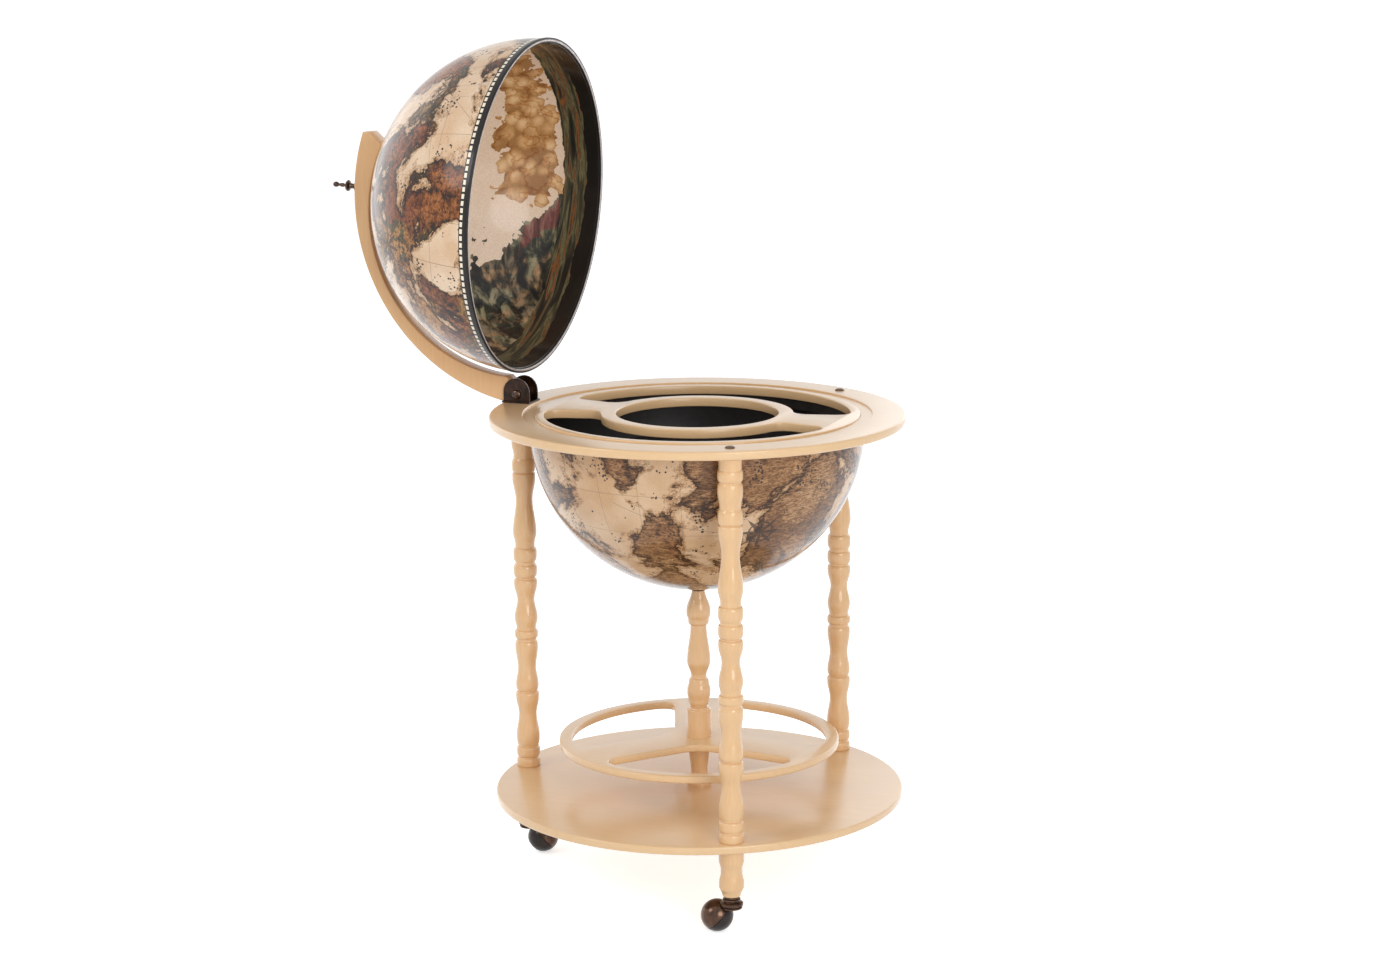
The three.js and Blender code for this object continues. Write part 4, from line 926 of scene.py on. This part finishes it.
lid_hole, lining_hole, lining_gap = 3.3 * mm, 2.3 * mm, 0.3 * mm
lid = lid_half_ball("printed_lid", globe_radius, globe_radius - lid_wall, lid_print, lid_hole)
place(lid, "lid", "globe_print", "lid_shell")
lining_radius = globe_radius - lid_wall - lining_gap
lining_paint = painted_lining("varnished_painted_scene_print", (lid_centre, lining_radius, -open_angle))
lining = lid_half_ball(
    "printed_lid_lining", lining_radius, lining_radius - lining_wall, lining_paint, lining_hole)
place(lining, "lid", "lining_print", "lid_lining")
rim_metal = plain_steel("drawn_aluminium_rim_trim", "#B8ADA8", "#9A918E", 0.38)
rim_paint = moulded_plastic("black_edge_paint", "#1D1815", "#14110F", 0.45)
band_inner, band_outer, nose, bead = 220 * mm, 226.2 * mm, 0.8 * mm, 1 * mm
paint_inner = band_outer - 2.7 * mm
band_low, band_high = closed_centre.z, closed_centre.z + band_height
bead_outer = band_inner + bead
bead_rows = np.array([
    [band_inner, band_high], [band_inner, band_low + 1 * mm],
    [band_inner + 0.5 * mm, band_low + 0.5 * mm], [bead_outer, band_low + 0.9 * mm],
    [bead_outer, band_high], [band_inner, band_high],
])
edge_bead = revolve("lid_rim_inner_edge", bead_rows, axis, rim_paint, 192)
edge_bead.data.transform(opened)
place(edge_bead, "lid", "rim_trim")
band_rows = np.array([
    [bead_outer, band_high], [bead_outer, band_low + 0.6 * mm], [bead_outer + 0.6 * mm, band_low],
    [paint_inner, band_low], [band_outer - nose, band_low], [band_outer - 0.4 * mm, band_low + 0.3 * mm],
    [band_outer - 0.1 * mm, band_low + 0.8 * mm], [band_outer, band_low + nose],
    [band_outer, band_high - 0.5 * mm], [band_outer - 0.5 * mm, band_high], [bead_outer, band_high],
])
band = revolve("lid_rim_band", band_rows, axis, rim_metal, 192)
second_finish(band, rim_paint, lambda at: np.hypot(at[:, 0] - axis.x, at[:, 1] - axis.y) > paint_inner)
band.data.transform(opened)
place(band, "lid", "rim_trim", "lid_band")


# Meridian arc. A crescent sawn from a 24 mm board, with a small round along its edges, lacquered
# like the legs. Its foot turns on the hinge bolt and its tip stands past the pole.
arc_thickness, arc_edge, arc_outer, arc_inner = 24 * mm, 2 * mm, 276.8 * mm, 215.8 * mm
outer_middle = np.array([axis.y - 3.4 * mm, bowl_centre.z + 6.3 * mm])
inner_middle = np.array([axis.y + 19.6 * mm, bowl_centre.z + 43.7 * mm])
foot = np.array([pivot.y, pivot.z])
heel, heel_run, shoulder = 9.1 * mm, 20.8 * mm, 17 * mm
tip_outer, tip_corner, tip_inner = np.radians([15.5, 16.4, 22.7])
corner_depth = 10.8 * mm
outer_start = np.arcsin((pivot.z + heel_run - outer_middle[1]) / arc_outer)
inner_start = np.arcsin((pivot.z + shoulder - inner_middle[1]) / arc_inner)
upright = np.pi / 2
arc_outline = np.vstack([
    arc(arc_outer, outer_start, upright + tip_outer, 96, outer_middle),
    [outer_middle + toward(arc_outer - corner_depth, upright + tip_corner)],
    arc(arc_inner, upright + tip_inner, inner_start, 80, inner_middle),
    arc(heel, np.pi, 1.5 * np.pi + open_angle, 24, foot),
    [foot + (heel / np.sin(open_angle) + heel_run / np.tan(open_angle), heel_run)],
])
bolt_hole = 4.3 * mm
arc_bolt_hole = arc(bolt_hole, 0, 2 * np.pi, 40, foot)[:-1]
arc_lacquer = lacquered_wood(
    "satin_lacquer_on_sawn_pine", (0.05, 1.0, 0.05), "#DDB07E", "#D6A775", coat=0.6, softness=0.14)
meridian = cut_board(
    "sawn_meridian_arc", [arc_outline, arc_bolt_hole], -arc_thickness / 2, arc_thickness / 2, arc_edge,
    arc_lacquer)
stand_up = Matrix(((0, 0, 1, 0), (1, 0, 0, 0), (0, 1, 0, 0), (0, 0, 0, 1)))
meridian.data.transform(opened @ stand_up)
place(meridian, "lid", "lacquered_wood", "meridian_arc")


# Pole fittings. A finial stands on the arc's outer edge and a short spacer holds the arc off the lid.
# Both are castings, turned and bronze plated. A rod with a washer and nut inside the lid clamps them.
pole_bronze = plated_bronze("antique_bronze_plated_casting", "#5A4030", "#2E1F17", 0.2)
pole = Vector((axis.x, axis.y))
finial_rows = np.array([
    [0.9, 0], [0.97, 0.01], [0.97, 0.085], [0.9, 0.1], [0.6, 0.115], [0.45, 0.16], [0.43, 0.2],
    [0.46, 0.24], [0.46, 0.32], [0.6, 0.335], [0.9, 0.36], [0.99, 0.4], [0.9, 0.44], [0.5, 0.465],
    [0.25, 0.49], [0.23, 0.53], [0.33, 0.58], [0.36, 0.63], [0.32, 0.69], [0.22, 0.745], [0.24, 0.77],
    [0.42, 0.82], [0.49, 0.88], [0.42, 0.945], [0.24, 0.985], [0, 1],
])
spacer_rows = np.array([
    [0.29, 0], [1, 0], [1, 0.1], [0.78, 0.2], [0.66, 0.5], [0.78, 0.8], [1, 0.9], [1, 1],
    [0.29, 1], [0.29, 0],
])
spacer_low = closed_centre.z + globe_radius
spacer_radius = finial_radius = 8 * mm
inner_reach = np.sqrt(arc_inner**2 - (axis.y + spacer_radius - inner_middle[0]) ** 2)
outer_reach = np.sqrt(arc_outer**2 - (axis.y + finial_radius - outer_middle[0]) ** 2)
seat_depth, finial_height = 0.8 * mm, 39 * mm
spacer_high = inner_middle[1] + inner_reach + seat_depth
finial_low = outer_middle[1] + outer_reach - seat_depth
rod_hole, rod_depth = 2.3 * mm, 10.3 * mm
finial_outline = np.vstack([
    [[0, finial_low + rod_depth], [rod_hole, finial_low + rod_depth], [rod_hole, finial_low]],
    finial_rows * (finial_radius, finial_height) + (0, finial_low),
])
finial = revolve("turned_finial", finial_outline, pole, pole_bronze, 48)
spacer_outline = spacer_rows * (spacer_radius, spacer_high - spacer_low) + (0, spacer_low)
spacer = revolve("turned_pole_spacer", spacer_outline, pole, pole_bronze, 48)
for piece, node in ((finial, "finial"), (spacer, "pole_spacer")):
    piece.data.transform(opened)
    place(piece, "lid", "bronze_cast", node)
plate_nodes(zinc_steel, "pole_washer", "pole_nut", "pole_rod")
for side in ("rear", "left", "right"):
    plate_nodes(zinc_steel, f"{side}_leg_stud", f"{side}_leg_screw")


# Studio. A white paper floor and white surroundings that look white to the eye and in reflections,
# while lamps and world light the bar at a plain level and the floor keeps its shadow. The camera
# stands to the bar's left, a little above it.
def seen_directly(tree):
    """1 for a ray from the camera, off a shiny surface or through a clear one, 0 for scattered light."""
    path = add(tree, "LightPath").outputs
    shown = add(tree, "Math MAXIMUM", [path["Is Camera Ray"], path["Is Glossy Ray"]])
    return add(tree, "Math MAXIMUM", [shown, path["Is Transmission Ray"]])


floor_material, floor_tree, floor_spot = finish("matt_white_studio_paper")
paper_gap = 400 * mm
paper = add(floor_tree, "TexNoise", {"Vector": floor_spot, "Scale": 1 / paper_gap, "Detail": 2.0})
paper_tone = add(floor_tree, "ValToRGB", [paper], stops=[(0.3, "#F0F4F9"), (0.7, "#F3F7FC")])
floor_glow = 0.62
floor_white = add(floor_tree, "Math MULTIPLY", [seen_directly(floor_tree), floor_glow])
floor_shader = add(floor_tree, "BsdfPrincipled", {
    "Base Color": paper_tone, "Roughness": 0.9, "Emission Color": hue("#FFFFFF"),
    "Emission Strength": floor_white,
})
add(floor_tree, "OutputMaterial", {"Surface": floor_shader})
floor_mesh = bpy.data.meshes.new("studio_floor")
half_floor = 40.0
floor_corners = [(-1, -1, 0), (1, -1, 0), (1, 1, 0), (-1, 1, 0)]
floor_mesh.from_pydata(half_floor * np.array(floor_corners), [], [(0, 1, 2, 3)])
floor_mesh.materials.append(floor_material)
floor = show("studio_floor", floor_mesh)

world = bpy.data.worlds.new("white_studio")
bpy.context.scene.world = world
world.use_nodes = True
world_tree = world.node_tree
world_tree.nodes.clear()
surround = add(world_tree, "Background", {"Color": hue("#FFFFFF"), "Strength": 0.55})
backdrop = add(world_tree, "Background", {"Color": hue("#FFFFFF"), "Strength": 1.0})
either = add(world_tree, "MixShader", [seen_directly(world_tree), surround, backdrop])
add(world_tree, "OutputWorld", {"Surface": either})

camera_across = Vector((0.35310, -0.93556, -0.00544))
camera_up = Vector((0.19058, 0.06623, 0.97943))
camera_back = camera_across.cross(camera_up)
camera_data = bpy.data.cameras.new("camera")
camera_data.lens = 77.89
camera_data.sensor_width = 36
camera = show("camera", camera_data)
turned = Matrix((camera_across, camera_up, camera_back)).transposed().to_4x4()
camera.matrix_world = Matrix.Translation((-3.73398, -1.54610, 1.37149)) @ turned
bpy.context.scene.camera = camera

lamps = [
    ("key", (-2.2, 1.6, 2.2), 1.2, 21),
    ("fill", (-2.6, -2.6, 1.5), 2.0, 52),
    ("left", (0.9, 3.0, 1.5), 2.8, 18),
    ("right", (3.0, -0.6, 1.6), 2.6, 16),
]
lit_middle = Vector((axis.x, axis.y, 0.6))
for name, spot, width, power in lamps:
    light = bpy.data.lights.new(name, "AREA")
    light.shape = "DISK"
    light.size = width
    light.energy = power
    lamp = show(name, light)
    aim = lit_middle - Vector(spot)
    lamp.matrix_world = Matrix.Translation(spot) @ aim.to_track_quat("-Z", "Y").to_matrix().to_4x4()
bpy.context.scene.view_settings.view_transform = "Standard"
